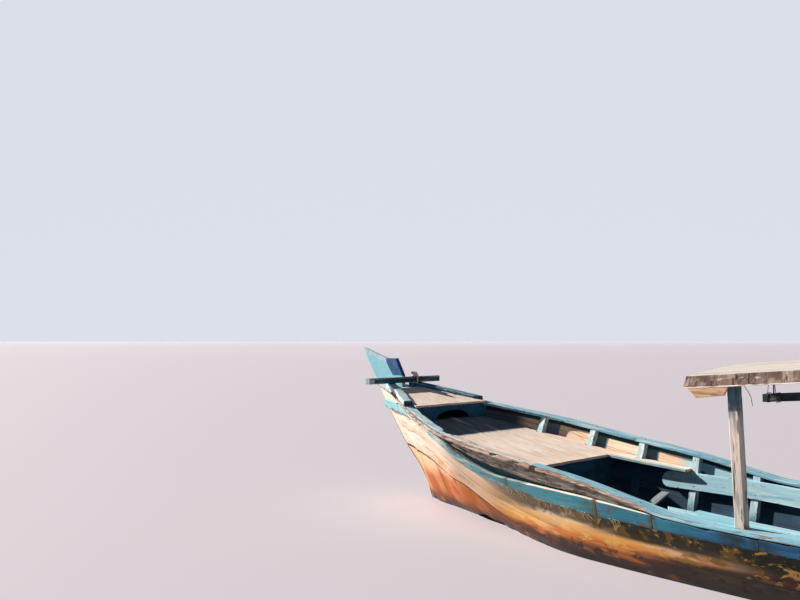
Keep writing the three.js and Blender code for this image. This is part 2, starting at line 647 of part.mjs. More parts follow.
// Floorboards, carried by the bilge stringers
const FLOOR_THICK = 22;
const FLOOR_FORE = DECK_AFT + 20;
const FLOOR_CLEAR = 4.3;      // between the floor's edge and the ribs
function floorRing(s) {
  const z = bilgeTop(s) + GAP;
  const half = innerY(s, z, WALL + RIB_DEPTH + FLOOR_CLEAR);
  return rectangle(s, -half, half, z, z + FLOOR_THICK);
}
const FLOOR_AFT = STRINGER_AFT - 5;
const underFloor = (s) => s > FLOOR_FORE && s < FLOOR_AFT - RIB_WIDTH / 2;
const floorPlaces = [FLOOR_FORE, ...faces.filter(underFloor), FLOOR_AFT];
add('floorboards', loft(floorPlaces.map(floorRing)), CREAM);

// Side deck on the port stringer, with a slanted fore end and a step in its inner edge
const SIDE_DECK_THICK = 22;
const SIDE_DECK_FORE = 3200;
const SIDE_DECK_FULL = 3310;  // s where the slanted end reaches the planking
const SIDE_DECK_STEP = 3400;
const SIDE_DECK_AFT = 6300;
const SIDE_DECK_INNER = 640;  // inner edge's y, aft of the step
const sideDeckOuter = (s) => capLine(s).y - CAP_WIDTH - 1.5;
function sideDeckRing(s, inner) {
  const slant = (s - SIDE_DECK_FORE) / (SIDE_DECK_FULL - SIDE_DECK_FORE);
  const outer = inner + (sideDeckOuter(s) - inner) * Math.min(Math.max(slant, 0.02), 1);
  const z = stringerTop(s) + GAP;
  return rectangle(s, inner, outer, z, z + SIDE_DECK_THICK);
}
// columns: s, inner edge's y
const sideDeckRows = [
  [SIDE_DECK_FORE, 730], [3255, 725], [SIDE_DECK_FULL, 721], [SIDE_DECK_STEP, 715],
  ...[SIDE_DECK_STEP, ...faces.filter((s) => s > SIDE_DECK_STEP && s < SIDE_DECK_AFT), SIDE_DECK_AFT]
    .map((s) => [s, SIDE_DECK_INNER]),
];
add('side_deck_port', loft(sideDeckRows.map(([s, y]) => sideDeckRing(s, y))), PALE_BLUE);

// Canopy: crowned roof on beams and leaning posts, rising towards the stern
const ROOF_FORE = 3545;
const ROOF_AFT = 6420;
const ROOF_HALF = 1070;
const ROOF_EDGE_TOP = 1504;
const ROOF_RISE = 0.09;       // rise per unit of length, going aft
const ROOF_CROWN = 71;
const ROOF_THICK = 22;
const FASCIA_THICK = 24;      // the fascias cover the roof panel's long edges
const FASCIA_DEPTH = 85;
const BEAM_DEPTH = 60;
const BEAM_WIDTH = 45;
const POST_SIZE = 72;
const POST_FOOT_Y = 955;
const POST_TOP_Y = 985;
const POST_PLACES = [3875, 6125];
const BEAM_PLACES = [3840, 4965, 6090];

const roofEdge = (s) => ROOF_EDGE_TOP + ROOF_RISE * (s - ROOF_FORE);
const ROOF_STEPS = 12;
const roofYs = Array.from({ length: ROOF_STEPS + 1 }, (_, i) => ROOF_HALF * ((2 * i) / ROOF_STEPS - 1));

// Height of the roof's top, flat between the lines of its crown.
function roofTop(s, y) {
  const crown = (v) => ROOF_CROWN * (1 - (v / ROOF_HALF) ** 2);
  const i = Math.min(Math.max(roofYs.findIndex((v) => v > y) - 1, 0), ROOF_STEPS - 1);
  const [y0, y1] = [roofYs[i], roofYs[i + 1]];
  return roofEdge(s) + crown(y0) + ((crown(y1) - crown(y0)) * (y - y0)) / (y1 - y0);
}
function arcBand(s, half, below, depth) {
  const ys = [-half, ...roofYs.filter((y) => Math.abs(y) < half - 1), half];
  const top = ys.map((y) => point(s, y, roofTop(s, Math.min(y, ROOF_HALF - 0.01)) - below));
  const bottom = top.map((p) => new THREE.Vector3(p.x, p.y, p.z - depth));
  return [...top, ...bottom.reverse()];
}
const underRoof = ROOF_HALF - FASCIA_THICK - GAP;
add('roof_panel', loft([ROOF_FORE, ROOF_AFT].map((s) => arcBand(s, underRoof, 0, ROOF_THICK))), ROOF_WHITE);

const UNDER_BEAM = ROOF_THICK + BEAM_DEPTH + 2 * GAP;
BEAM_PLACES.forEach((s, i) => {
  const ends = [s - BEAM_WIDTH / 2, s + BEAM_WIDTH / 2];
  const rings = ends.map((v) => arcBand(v, underRoof, ROOF_THICK + GAP, BEAM_DEPTH));
  add(`roof_beam_${['fore', 'mid', 'aft'][i]}`, loft(rings), CREAM);
});

const FASCIA_LEAD = 28;       // its foot stands this far ahead of its top, at the fore end
const fasciaInner = ROOF_HALF - FASCIA_THICK;
const fasciaFoot = (s) => roofEdge(s) - FASCIA_DEPTH;
function fasciaRing(s, lead) {
  const low = fasciaFoot(s - lead);
  return [
    point(s - lead, fasciaInner, low), point(s - lead, ROOF_HALF, low),
    point(s, ROOF_HALF, roofEdge(s)), point(s, fasciaInner, roofEdge(s)),
  ];
}
addPair('fascia', loft([fasciaRing(ROOF_FORE, FASCIA_LEAD), fasciaRing(ROOF_AFT, 0)]), ROOF_WHITE);

// Bracket boards under the fascias, ahead of the fore posts
const BRACKET_DROP = 62;
const BRACKET_FORE = 3555;
const BRACKET_AFT = 3845;
const bracketTop = (s) => fasciaFoot(s) - GAP;
const bracket = [
  [BRACKET_FORE, bracketTop(BRACKET_FORE)], [BRACKET_AFT, bracketTop(BRACKET_AFT)],
  [BRACKET_AFT - 30, bracketTop(BRACKET_AFT) - BRACKET_DROP],
  [BRACKET_FORE + 60, bracketTop(BRACKET_FORE) - BRACKET_DROP],
];
addPair('bracket_board', slab(bracket, fasciaInner, ROOF_HALF - 2, sideOn), CREAM);

const POST_LEAN_S = -25;
const POST_HALF = POST_SIZE / 2;
const POST_BEAMS = [BEAM_PLACES[0], BEAM_PLACES[2]];
POST_PLACES.forEach((s, i) => {
  const foot = Math.max(capLine(s - POST_HALF).z, capLine(s + POST_HALF).z) + GAP;
  const head = roofTop(POST_BEAMS[i] - BEAM_WIDTH / 2, POST_TOP_Y + POST_HALF) - UNDER_BEAM;
  const corners = (atS, atY, z) => [[-1, -1], [1, -1], [1, 1], [-1, 1]]
    .map(([ds, dy]) => point(atS + ds * POST_HALF, atY + dy * POST_HALF, z));
  const ends = [corners(s, POST_FOOT_Y, foot), corners(s + POST_LEAN_S, POST_TOP_Y, head)];
  addPair(`post_${['fore', 'aft'][i]}`, fourSided(ends), PALE_BLUE);
});

// Bar slung under the beams on two hangers
const BAR_Y = 350;
const BAR_SIZE = 60;
const BAR_DROP = 145;
const barTop = (s) => roofTop(s, BAR_Y) - ROOF_THICK - BEAM_DEPTH - BAR_DROP;
const BAR_FORE = 3770;
const BAR_AFT = 5060;
function barRing(s) {
  return rectangle(s, BAR_Y - BAR_SIZE / 2, BAR_Y + BAR_SIZE / 2, barTop(s) - BAR_SIZE, barTop(s));
}
const HANGER_HALF = 5;
const HANGER_BITE = 10;
const hangers = BEAM_PLACES.slice(0, 2).map((s) => {
  const head = roofTop(s - HANGER_HALF, BAR_Y + HANGER_HALF) - UNDER_BEAM;
  const [y0, y1] = [BAR_Y - HANGER_HALF, BAR_Y + HANGER_HALF];
  return box(s - HANGER_HALF, s + HANGER_HALF, y0, y1, barTop(s) - HANGER_BITE, head);
});
add('slung_bar', join(loft([barRing(BAR_FORE), barRing(BAR_AFT)]), ...hangers), TEAL);

// Motor: post on the aft deck, swivel yoke, and a cradle that tilts in it with engine, tail and tiller
const PIVOT_S = 8430;
const PIVOT_Z = 1040;
const MOTOR_POST_HALF = 95;
const MOTOR_POST_TOP = 900;
const postFore = PIVOT_S - MOTOR_POST_HALF;
const postAft = PIVOT_S + MOTOR_POST_HALF;
const postBottom = AFT_DECK_TOP + GAP;
const motorPost = box(postFore, postAft, -MOTOR_POST_HALF, MOTOR_POST_HALF, postBottom, MOTOR_POST_TOP);
add('motor_post', motorPost, CREAM);

const ROUND = 20;             // sides of a round section
const YOKE_BASE = 14;
const YOKE_BASE_HALF = 60;
const YOKE_INNER = 125;
const CHEEK_THICK = 14;
const CHEEK_FOOT_HALF = 55;
const CHEEK_HEAD = 42;        // half-length and height of a cheek beyond the pivot
const PIN_RADIUS = 16;
const PIN_CLEARANCE = 1;
const circle = (a, b, r, n = ROUND) => Array.from({ length: n }, (_, i) => {
  const turn = (2 * Math.PI * i) / n;
  return [a + r * Math.cos(turn), b + r * Math.sin(turn)];
});
const yokeOuter = YOKE_INNER + CHEEK_THICK;
const yokeBottom = MOTOR_POST_TOP + GAP;
const [baseFore, baseAft] = [PIVOT_S - YOKE_BASE_HALF, PIVOT_S + YOKE_BASE_HALF];
const yokeBase = box(baseFore, baseAft, -yokeOuter, yokeOuter, yokeBottom, yokeBottom + YOKE_BASE);
const cheekOutline = [
  [PIVOT_S - CHEEK_FOOT_HALF, yokeBottom + 2], [PIVOT_S + CHEEK_FOOT_HALF, yokeBottom + 2],
  [PIVOT_S + CHEEK_HEAD, PIVOT_Z + CHEEK_HEAD], [PIVOT_S - CHEEK_HEAD, PIVOT_Z + CHEEK_HEAD],
];
const cheekHole = circle(PIVOT_S, PIVOT_Z, PIN_RADIUS + PIN_CLEARANCE);
const cheek = slab(cheekOutline, YOKE_INNER, yokeOuter, sideOn, [cheekHole]);
add('swivel_yoke', join(yokeBase, cheek, mirrored(cheek)), STEEL);

// The tail points down by this much when it is parked clear of the water.
const TAIL_ANGLE = THREE.MathUtils.degToRad(6);

// Pieces of the motor are drawn about the pivot, a along the tail, c up from it.
function tail(a, y, c) {
  const x = -a * Math.cos(TAIL_ANGLE) - c * Math.sin(TAIL_ANGLE);
  const z = -a * Math.sin(TAIL_ANGLE) + c * Math.cos(TAIL_ANGLE);
  return new THREE.Vector3(STEM_X - PIVOT_S + x, y, PIVOT_Z + z);
}
function tailBox(a0, a1, y0, y1, c0, c1) {
  const ring = (a) => [tail(a, y0, c0), tail(a, y1, c0), tail(a, y1, c1), tail(a, y0, c1)];
  return loft([ring(a0), ring(a1)]);
}

// A turned piece, its lathe coordinates set in place. columns of profile: place on the axis, radius
function turned(profile, place, sides = ROUND) {
  const g = new THREE.LatheGeometry(profile.map(([v, r]) => new THREE.Vector2(r, v)), sides);
  const p = g.attributes.position;
  for (let i = 0; i < p.count; i += 1) {
    const v = place(p.getX(i), p.getY(i), p.getZ(i));
    p.setXYZ(i, v.x, v.y, v.z);
  }
  return outward(g);
}
const tailTurned = (profile, y = 0, c = 0) => turned(profile, (u, v, w) => tail(v, y + u, c + w));
const acrossTurned = (a, c, profile) => turned(profile, (u, v, w) => tail(a + u, v, c + w));

// A turned piece's profile with square ends
const rod = (v0, v1, r) => [[v0, 0], [v0, r], [v1, r], [v1, 0]];

// Cradle: two rails, three cross plates and the pivot pin
const RAIL_Y = 95;
const RAIL_HALF = 20;
const RAIL_FORE = -560;
const RAIL_AFT = 330;
const PLATE_WIDTH = 45;
const PLATE_HALF_THICK = 13;
const PLATE_INSET = 3;        // end plates stand back from the rails' ends
const PIN_OVERHANG = 8;
const pinEnd = yokeOuter + PIN_OVERHANG;
const pin = acrossTurned(0, 0, rod(-pinEnd, pinEnd, PIN_RADIUS));
function rail(side) {
  const y = side * RAIL_Y;
  return tailBox(RAIL_FORE, RAIL_AFT, y - RAIL_HALF, y + RAIL_HALF, -RAIL_HALF, RAIL_HALF);
}
const platePlaces = [RAIL_FORE + PLATE_INSET, -PLATE_WIDTH / 2, RAIL_AFT - PLATE_INSET - PLATE_WIDTH];
const crossPlates = platePlaces
  .map((a) => tailBox(a, a + PLATE_WIDTH, -RAIL_Y, RAIL_Y, -PLATE_HALF_THICK, PLATE_HALF_THICK));
add('engine_cradle', join(rail(1), rail(-1), ...crossPlates, pin), STEEL);

// Engine on the cradle's fore end: crankcase, sump, finned cylinder, head, flywheel case and gear nose
const seat = RAIL_HALF + GAP;
const HEAD_TOP = 450;
// columns: from a, to a, half-breadth, from c, to c
const ENGINE_BOXES = [
  [-500, -130, 150, seat, 250], [-460, -170, 70, -60, seat + 5], [-420, -210, 95, 245, 410],
  [-405, -225, 80, 405, HEAD_TOP],
];
const FIN_COUNT = 4;
const FIN_FIRST = 275;
const FIN_PITCH = 32;
const FIN_THICK = 14;
const FIN_HALF_BREADTH = 115;
const finRows = Array.from({ length: FIN_COUNT }, (_, i) => FIN_FIRST + i * FIN_PITCH)
  .map((c) => [-440, -190, FIN_HALF_BREADTH, c, c + FIN_THICK]);
const engineBoxes = [...ENGINE_BOXES, ...finRows]
  .map(([a0, a1, half, c0, c1]) => tailBox(a0, a1, -half, half, c0, c1));
const FLYWHEEL = [[145, 0], [145, 150], [215, 150], [215, 60], [240, 50], [240, 0]];
const flywheelCase = acrossTurned(-300, 150, FLYWHEEL);
const gearNose = tailTurned([[-140, 0], [-140, 90], [-60, 62], [-52, 0]], 0, 110);
add('engine_block', join(...engineBoxes, flywheelCase, gearNose), ENGINE_PAINT);

// Fuel tank on the head, with rounded sides
const TANK_FORE = -430;
const TANK_AFT = -200;
const TANK_RADIUS = 60;
const TANK_HALF_BREADTH = 140;
const tankSeat = HEAD_TOP + GAP;
const tankSide = (y) => tailTurned(rod(TANK_FORE, TANK_AFT, TANK_RADIUS), y, tankSeat + TANK_RADIUS);
const tankTop = tankSeat + 2 * TANK_RADIUS;
const tankMiddle = tailBox(TANK_FORE, TANK_AFT, -TANK_HALF_BREADTH, TANK_HALF_BREADTH, tankSeat, tankTop);
add('fuel_tank', join(tankMiddle, tankSide(TANK_HALF_BREADTH), tankSide(-TANK_HALF_BREADTH)), PALE_BLUE);

function tube(path, radius, steps) {
  const shape = new THREE.Shape(flatPoints(circle(0, 0, radius, 12)));
  return outward(new THREE.ExtrudeGeometry(shape, { steps, bevelEnabled: false, extrudePath: path }));
}
const straight = (from, to, radius) => tube(new THREE.LineCurve3(from, to), radius, 1);
const curved = (points, radius, steps) => tube(new THREE.CatmullRomCurve3(points), radius, steps);

// Exhaust: a flange on the cylinder's starboard side and a pipe turned up behind it
const PORT_A = -300;
const PORT_C = 330;
const portFace = -FIN_HALF_BREADTH - GAP;
const exhaustPort = straight(tail(PORT_A, portFace, PORT_C), tail(PORT_A, portFace - 35, PORT_C), 32);
const exhaustRise = curved([
  tail(PORT_A, -130, PORT_C), tail(PORT_A, -200, 332), tail(-285, -238, 400), tail(-230, -238, 620),
  tail(-150, -238, 760),
], 24, 16);
add('exhaust_pipe', join(exhaustPort, exhaustRise), STEEL);

// Tiller: bar from the cradle's fore end, bent up to the helmsman's hand
const TILLER_RADIUS = 17;
const tillerFore = RAIL_FORE + PLATE_INSET - GAP;
const tillerFoot = straight(tail(tillerFore, 0, 0), tail(tillerFore - 70, 0, 0), TILLER_RADIUS + 5);
const tillerBar = curved([
  tail(tillerFore - 30, 0, 0), tail(tillerFore - 120, 0, 10), tail(tillerFore - 350, 0, 90),
  tail(tillerFore - 700, 0, 150),
], TILLER_RADIUS, 14);
const grip = straight(tail(tillerFore - 690, 0, 148), tail(tillerFore - 830, 0, 172), 24);
add('tiller', join(tillerFoot, tillerBar, grip), STEEL);

// Tail tube from the cradle to the propeller, with a skeg plate and a stay near its end
const TUBE_START = RAIL_AFT - PLATE_INSET + GAP;
const TUBE_END = 2860;
const TUBE_RADIUS = 24;
const SOCKET_RADIUS = 60;
const TUBE_BITE = 6;          // how far the skeg and the stay go into the tube
const SKEG_HALF_THICK = 6;
const STAY_HALF_THICK = 9;
const tailTube = tailTurned([
  [TUBE_START, 0], [TUBE_START, SOCKET_RADIUS], [TUBE_START + 30, SOCKET_RADIUS],
  [TUBE_START + 60, TUBE_RADIUS], [TUBE_END, TUBE_RADIUS], [TUBE_END, 0],
]);
const tubeSide = TUBE_RADIUS - TUBE_BITE;
const skegOutline = [[-330, -tubeSide], [-60, -tubeSide], [-90, -190], [-160, -190]]
  .map(([a, c]) => [TUBE_END + a, c]);
const skeg = slab(skegOutline, -SKEG_HALF_THICK, SKEG_HALF_THICK, (a, c, y) => tail(a, y, c));
const stay = tailBox(TUBE_END - 900, TUBE_END - 120, -STAY_HALF_THICK, STAY_HALF_THICK, tubeSide, 56);
add('tail_tube', join(tailTube, skeg, stay), STEEL);

// Propeller: hub with two twisted blades
const HUB_START = TUBE_END + GAP;
const HUB_END = HUB_START + 90;
const BLADE_RADIUS = 165;
const BLADE_HALF_THICK = 2.5;
// columns: distance from the axis, chord, twist in degrees
const BLADE_ROWS = [[15, 46, 62], [60, 92, 48], [110, 104, 36], [150, 74, 28], [BLADE_RADIUS, 30, 25]];
const hub = tailTurned([[HUB_START, 0], [HUB_START, 26], [HUB_END - 20, 24], [HUB_END, 0]]);

function blade(turn) {
  const mid = (HUB_START + HUB_END) / 2;
  return fourSided(BLADE_ROWS.map(([r, chord, twist]) => {
    const angle = THREE.MathUtils.degToRad(twist);
    return [[-1, -1], [1, -1], [1, 1], [-1, 1]].map(([u, v]) => {
      const across = (u * chord) / 2;
      const thick = v * BLADE_HALF_THICK;
      const side = across * Math.cos(angle) - thick * Math.sin(angle);
      const a = mid + across * Math.sin(angle) + thick * Math.cos(angle);
      return tail(a, r * Math.cos(turn) - side * Math.sin(turn), r * Math.sin(turn) + side * Math.cos(turn));
    });
  }));
}
add('propeller', join(hub, blade(0), blade(Math.PI)), BRASS);

export default boat;
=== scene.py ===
"""A weathered wooden longtail boat, afloat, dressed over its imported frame.

Metres. +X points to the bow, +Y to port, +Z up, and the floor is the waterline. Places along the
hull are given as s, the distance aft of the point where the stem meets the water.
"""

import math
from itertools import groupby

import bmesh
import bpy
import numpy as np
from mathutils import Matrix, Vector


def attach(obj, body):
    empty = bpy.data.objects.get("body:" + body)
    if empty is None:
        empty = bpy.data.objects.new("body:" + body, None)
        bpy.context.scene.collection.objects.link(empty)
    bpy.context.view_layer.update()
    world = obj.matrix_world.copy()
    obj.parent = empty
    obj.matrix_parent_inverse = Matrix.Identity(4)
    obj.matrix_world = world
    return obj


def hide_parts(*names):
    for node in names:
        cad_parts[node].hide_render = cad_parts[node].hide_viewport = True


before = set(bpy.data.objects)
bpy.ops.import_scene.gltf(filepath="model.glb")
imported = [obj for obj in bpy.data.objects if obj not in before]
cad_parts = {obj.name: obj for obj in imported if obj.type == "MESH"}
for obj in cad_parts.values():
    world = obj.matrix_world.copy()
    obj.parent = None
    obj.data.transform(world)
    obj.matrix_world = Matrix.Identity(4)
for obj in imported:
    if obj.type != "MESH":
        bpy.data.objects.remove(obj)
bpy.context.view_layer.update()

MM = 0.001
STEM_X = 4.3
GAP = 0.0003


# Camera, floor and light

PHOTO_WIDTH = 800
FOCAL_PIXELS = 813
SENSOR = 36.0
CAMERA_PLACE = (-2.15, 6.36, 1.8)
CAMERA_HEADING = (0.744, -0.668)
CAMERA_PITCH = math.radians(2.39)
CAMERA_REACH = 1000
SUN_FROM = (0.945, 0.327)       # towards the bow and a little to port
SUN_HEIGHT = math.radians(30)
SUN_POWER, SUN_SPREAD, SUN_COLOR = 7.2, math.radians(1.2), (1.0, 0.93, 0.84)
SKY_COLOR, SKY_STRENGTH = "#bdd5f7", 0.15
FLOOR_SIZE, FLOOR_STEPS = 440.0, 60
FLOOR_LAP = 0.012             # how far the floor reaches into the planking
FLOOR_COLOR, FLOOR_ROUGHNESS = "#bfbbc5", 0.9
BACKDROP_FAR, BACKDROP_HALF, BACKDROP_HEIGHT = 185.0, 122.0, 82.0
BACKDROP_COLOR, BACKDROP_GLOW, BACKDROP_STRENGTH = "#101112", "#dfe3ee", 0.95


def rgb(text, alpha=1.0):
    """A hex sRGB colour in linear light."""
    parts = [int(text[i : i + 2], 16) / 255 for i in (1, 3, 5)]
    linear = [c / 12.92 if c <= 0.04045 else ((c + 0.055) / 1.055) ** 2.4 for c in parts]
    return (*linear, alpha)


def look_along(direction):
    return Vector(direction).to_track_quat("-Z", "Y").to_euler()


def add_object(name, data):
    obj = bpy.data.objects.new(name, data)
    bpy.context.scene.collection.objects.link(obj)
    return obj


def studio_sheet(name, points, faces, **sockets):
    """A flat piece of the studio, in one even finish."""
    mesh = bpy.data.meshes.new(name)
    mesh.from_pydata(points, [], faces)
    mat = bpy.data.materials.new(f"studio_{name}")
    mat.use_nodes = True
    for label, value in sockets.items():
        mat.node_tree.nodes["Principled BSDF"].inputs[label.replace("_", " ")].default_value = value
    mesh.materials.append(mat)
    return add_object(name, mesh)


def set_stage():
    scene = bpy.context.scene
    camera = add_object("camera", bpy.data.cameras.new("camera"))
    camera.data.sensor_width = SENSOR
    camera.data.lens = FOCAL_PIXELS * SENSOR / PHOTO_WIDTH
    camera.data.clip_end = CAMERA_REACH
    camera.location = CAMERA_PLACE
    heading = Vector((*CAMERA_HEADING, 0)).normalized() * math.cos(CAMERA_PITCH)
    camera.rotation_euler = look_along((heading.x, heading.y, math.sin(CAMERA_PITCH)))
    scene.camera = camera
    scene.view_settings.view_transform = "Standard"

    sun = add_object("sun", bpy.data.lights.new("sun", "SUN"))
    sun.data.energy, sun.data.angle, sun.data.color = SUN_POWER, SUN_SPREAD, SUN_COLOR
    level = math.cos(SUN_HEIGHT)
    sun.rotation_euler = look_along((-SUN_FROM[0] * level, -SUN_FROM[1] * level, -math.sin(SUN_HEIGHT)))

    world = bpy.data.worlds.new("studio")
    world.use_nodes = True
    sky = world.node_tree.nodes["Background"].inputs
    sky["Color"].default_value = rgb(SKY_COLOR)
    sky["Strength"].default_value = SKY_STRENGTH
    scene.world = world

    # The floor is open inside the hull, where the bilge is lower than the water outside.
    places = np.linspace(0.0, TRANSOM_S - FLOOR_LAP, FLOOR_STEPS)
    side = [(STEM_X - s, float(half_breadth(s, 0.0)) - FLOOR_LAP) for s in places]
    inner = np.array([(x, y, 0) for x, y in side] + [(x, -y, 0) for x, y in reversed(side)])
    outer = inner / np.linalg.norm(inner, axis=1)[:, None] * FLOOR_SIZE / 2
    n = len(inner)
    rows = [(j, (j + 1) % n, n + (j + 1) % n, n + j) for j in range(n)]
    floor = studio_sheet("floor", np.vstack([inner, outer]).tolist(), rows,
                         Base_Color=rgb(FLOOR_COLOR), Roughness=FLOOR_ROUGHNESS)

    forward = heading.normalized()
    across = Vector((forward.y, -forward.x, 0)) * BACKDROP_HALF
    foot = Vector((*CAMERA_PLACE[:2], 0)) + Vector((forward.x, forward.y, 0)) * BACKDROP_FAR
    rise = Vector((0, 0, BACKDROP_HEIGHT))
    corners = [foot - across, foot + across, foot + across + rise, foot - across + rise]
    backdrop = studio_sheet("backdrop", corners, [(0, 1, 2, 3)], Base_Color=rgb(BACKDROP_COLOR),
                            Emission_Color=rgb(BACKDROP_GLOW), Emission_Strength=BACKDROP_STRENGTH)
    backdrop.visible_shadow = False


# Lines of the hull


class Line:
    """A smooth curve through rows of (place, value) in millimetres, straight on past its ends."""

    def __init__(self, *rows):
        self.s, self.v = np.array(rows, float).T * MM
        slope = np.diff(self.v) / np.diff(self.s)
        a, b = slope[:-1], slope[1:]
        middle = np.where(a * b <= 0, 0, 2 * a * b / np.where(a + b == 0, 1, a + b))
        self.lean = np.concatenate([slope[:1], middle, slope[-1:]])

    def __call__(self, s):
        s = np.asarray(s, float)
        i = np.clip(np.searchsorted(self.s, s) - 1, 0, len(self.s) - 2)
        h = self.s[i + 1] - self.s[i]
        t = np.clip((s - self.s[i]) / h, 0, 1)
        rise = t * t * (3 - 2 * t)
        lean = t * (1 - t) ** 2 * self.lean[i] - t * t * (1 - t) * self.lean[i + 1]
        value = self.v[i] + (self.v[i + 1] - self.v[i]) * rise + h * lean
        below = np.minimum(s - self.s[0], 0) * self.lean[0]
        return value + below + np.maximum(s - self.s[-1], 0) * self.lean[-1]


CAP_BREADTH = Line(
    (-980, 62), (-900, 120), (-400, 345), (100, 620), (600, 865), (1100, 1030), (1600, 1062),
    (2600, 1062), (3600, 1060), (4600, 1042), (5600, 1030), (6600, 990), (7600, 880), (8600, 680))
CAP_HEIGHT = Line(
    (-980, 1245), (-900, 1230), (-400, 1150), (100, 1045), (600, 950), (1100, 865), (1600, 788),
    (2100, 722), (2600, 655), (3100, 562), (3350, 517), (3700, 500), (4100, 495), (4600, 492),
    (5600, 485), (6600, 480), (7600, 515), (8600, 590))
WATER_BREADTH = Line(
    (-100, 26), (0, 45), (200, 125), (450, 185), (700, 225), (900, 275), (1130, 335), (1460, 485),
    (1850, 660), (2250, 795), (2600, 850), (3200, 868), (4600, 855), (6000, 820), (7200, 700),
    (8600, 430))
# How full the section is above the water, in thousandths: 1000 is a straight flare.
SIDE_FLARE = Line(
    (-200, 950), (0, 950), (500, 800), (900, 630), (1200, 680), (2200, 1050), (3000, 1050))
KEEL = Line(
    (-1000, 1245), (-973, 1210), (-848, 1026), (-774, 930), (-613, 720), (-462, 542), (-210, 293),
    (-106, 137), (-34, -20), (150, -140), (600, -220), (1500, -280), (3000, -300), (6000, -300),
    (8600, -150))
LOG_SEAM = Line(
    (-462, 548), (-100, 535), (200, 536), (400, 522), (550, 492), (700, 450), (880, 412), (1030, 378),
    (1220, 290), (1430, 180), (1700, 78), (2045, 5), (2600, -60), (4000, -100), (6000, -100), (8600, 0))
WALE_FOOT = Line(
    (-780, 955), (-611, 938), (-100, 941), (200, 952), (400, 926), (550, 895), (700, 858), (880, 808),
    (1030, 742), (1220, 620), (1430, 538), (1700, 485), (2100, 432), (2550, 403), (2800, 391),
    (3400, 386), (3800, 379), (4300, 375), (5600, 350), (6600, 346), (7600, 372), (8600, 445))
WALE_TOP = Line(
    (-780, 1050), (-450, 1042), (-100, 1042), (200, 1003), (400, 957), (550, 931), (700, 905),
    (880, 866), (1030, 820), (1220, 726), (1430, 630), (1700, 565), (2100, 550), (2550, 538),
    (2800, 524), (3100, 504), (3400, 488), (3700, 469), (4600, 461), (8600, 560))
BULWARK_FOOT = Line(
    (700, 918), (1030, 832), (1220, 760), (1430, 695), (1700, 641), (2100, 582), (2550, 548),
    (2800, 528), (3100, 509), (3600, 474))
DECK = Line((-60, 925), (250, 865), (820, 735), (1350, 650), (1720, 590), (2620, 515))
BILGE_TOP = Line(
    (760, 140), (1400, 115), (1740, 50), (2050, 20), (2600, -45), (6600, -45), (7250, -20))
STRINGER_TOP = Line(
    (2250, 490), (3100, 485), (3700, 458), (4300, 440), (5600, 428), (6600, 425), (7300, 442))

CAP_THICK = 0.028
CAP_WIDTH = 0.150
CAP_OVERHANG = 0.050
NOSE = 0.037
STEM_HALF = 0.025
WALL = 0.030
LOG_FRACTIONS = (0, 0.04, 0.15, 0.4, 1)
SEAM, FOOT, WALE, RECESS_FOOT, TOP = 4, 6, 7, 8, 9   # levels: log seam, strake's foot and top
LEVELS = np.arange(10)
LEVEL_STEP = 0.004
SLOPE_SPAN = 0.12             # how far apart, in levels, the skin's slope is taken
BOW_FULLNESS = 0.95
LOG_TIP = -0.462
TRANSOM_S = 8.6
TRANSOM_THICK = 0.040
RIBS = [0.820 + 0.576 * i for i in range(12)]
RIB_WIDTH = 0.075
RIB_DEPTH = 0.060


def half_breadth(s, z):
    s, z = np.broadcast_arrays(np.asarray(s, float), np.asarray(z, float))
    keel, top = KEEL(s), CAP_HEIGHT(s) - CAP_THICK
    skin = np.maximum(CAP_BREADTH(s) - CAP_OVERHANG, NOSE)
    t = np.clip((z - keel) / np.maximum(top - keel, 1e-6), 0, 1)
    bow = NOSE + (skin - NOSE) * t**BOW_FULLNESS
    water = np.maximum(WATER_BREADTH(s), NOSE)
    side = water + (skin - water) * np.clip(z / top, 0, 1) ** SIDE_FLARE(s)
    deep = water * np.sqrt(np.clip(1 - (z / np.minimum(keel, -1e-6)) ** 2, 0, 1))
    return np.where(keel >= 0, bow, np.where(z >= 0, side, deep))


LEVEL_STORE = {}


def levels(s):
    """Heights of the ten levels of a section, from the keel to the cap rail's underside."""
    key = round(float(s), 5)
    if key not in LEVEL_STORE:
        keel, cap = float(KEEL(s)), float(CAP_HEIGHT(s)) - CAP_THICK - GAP
        seam = max(float(LOG_SEAM(max(s, LOG_TIP))), keel + LEVEL_STEP)
        z = [keel + (seam - keel) * f for f in LOG_FRACTIONS]
        foot = float(WALE_FOOT(s))
        above = [(seam + foot) / 2, foot, float(WALE_TOP(s)), float(BULWARK_FOOT(s)), cap]
        for i, v in enumerate(above):
            room = (len(above) - 1 - i) * LEVEL_STEP
            z.append(max(min(v, cap - room), z[-1] + LEVEL_STEP))
        z[TOP] = max(z[TOP], cap)
        LEVEL_STORE[key] = np.array(z)
    return LEVEL_STORE[key]


def skin_point(s, k, depth=0.0):
    """(y, z) of the planking at level k of a section, moved inwards by depth."""
    z = np.interp(k, LEVELS, levels(s))
    y = half_breadth(s, z)
    if k >= SEAM:
        return np.array([max(float(y) - depth, STEM_HALF + GAP), z])
    ks = np.clip([k - SLOPE_SPAN, k + SLOPE_SPAN], 0, SEAM)
    zs = np.interp(ks, LEVELS, levels(s))
    ys = half_breadth(s, zs)
    dy, dz = ys[1] - ys[0], zs[1] - zs[0]
    size = max(math.hypot(dy, dz), 1e-9)
    return np.array([max(float(y) - depth * dz / size, 0.0), z + depth * dy / size])


def inner_breadth(s, z, depth):
    return np.maximum(half_breadth(s, z) - depth, STEM_HALF + GAP)


def cap_line(s):
    return float(CAP_BREADTH(s)), float(CAP_HEIGHT(s))


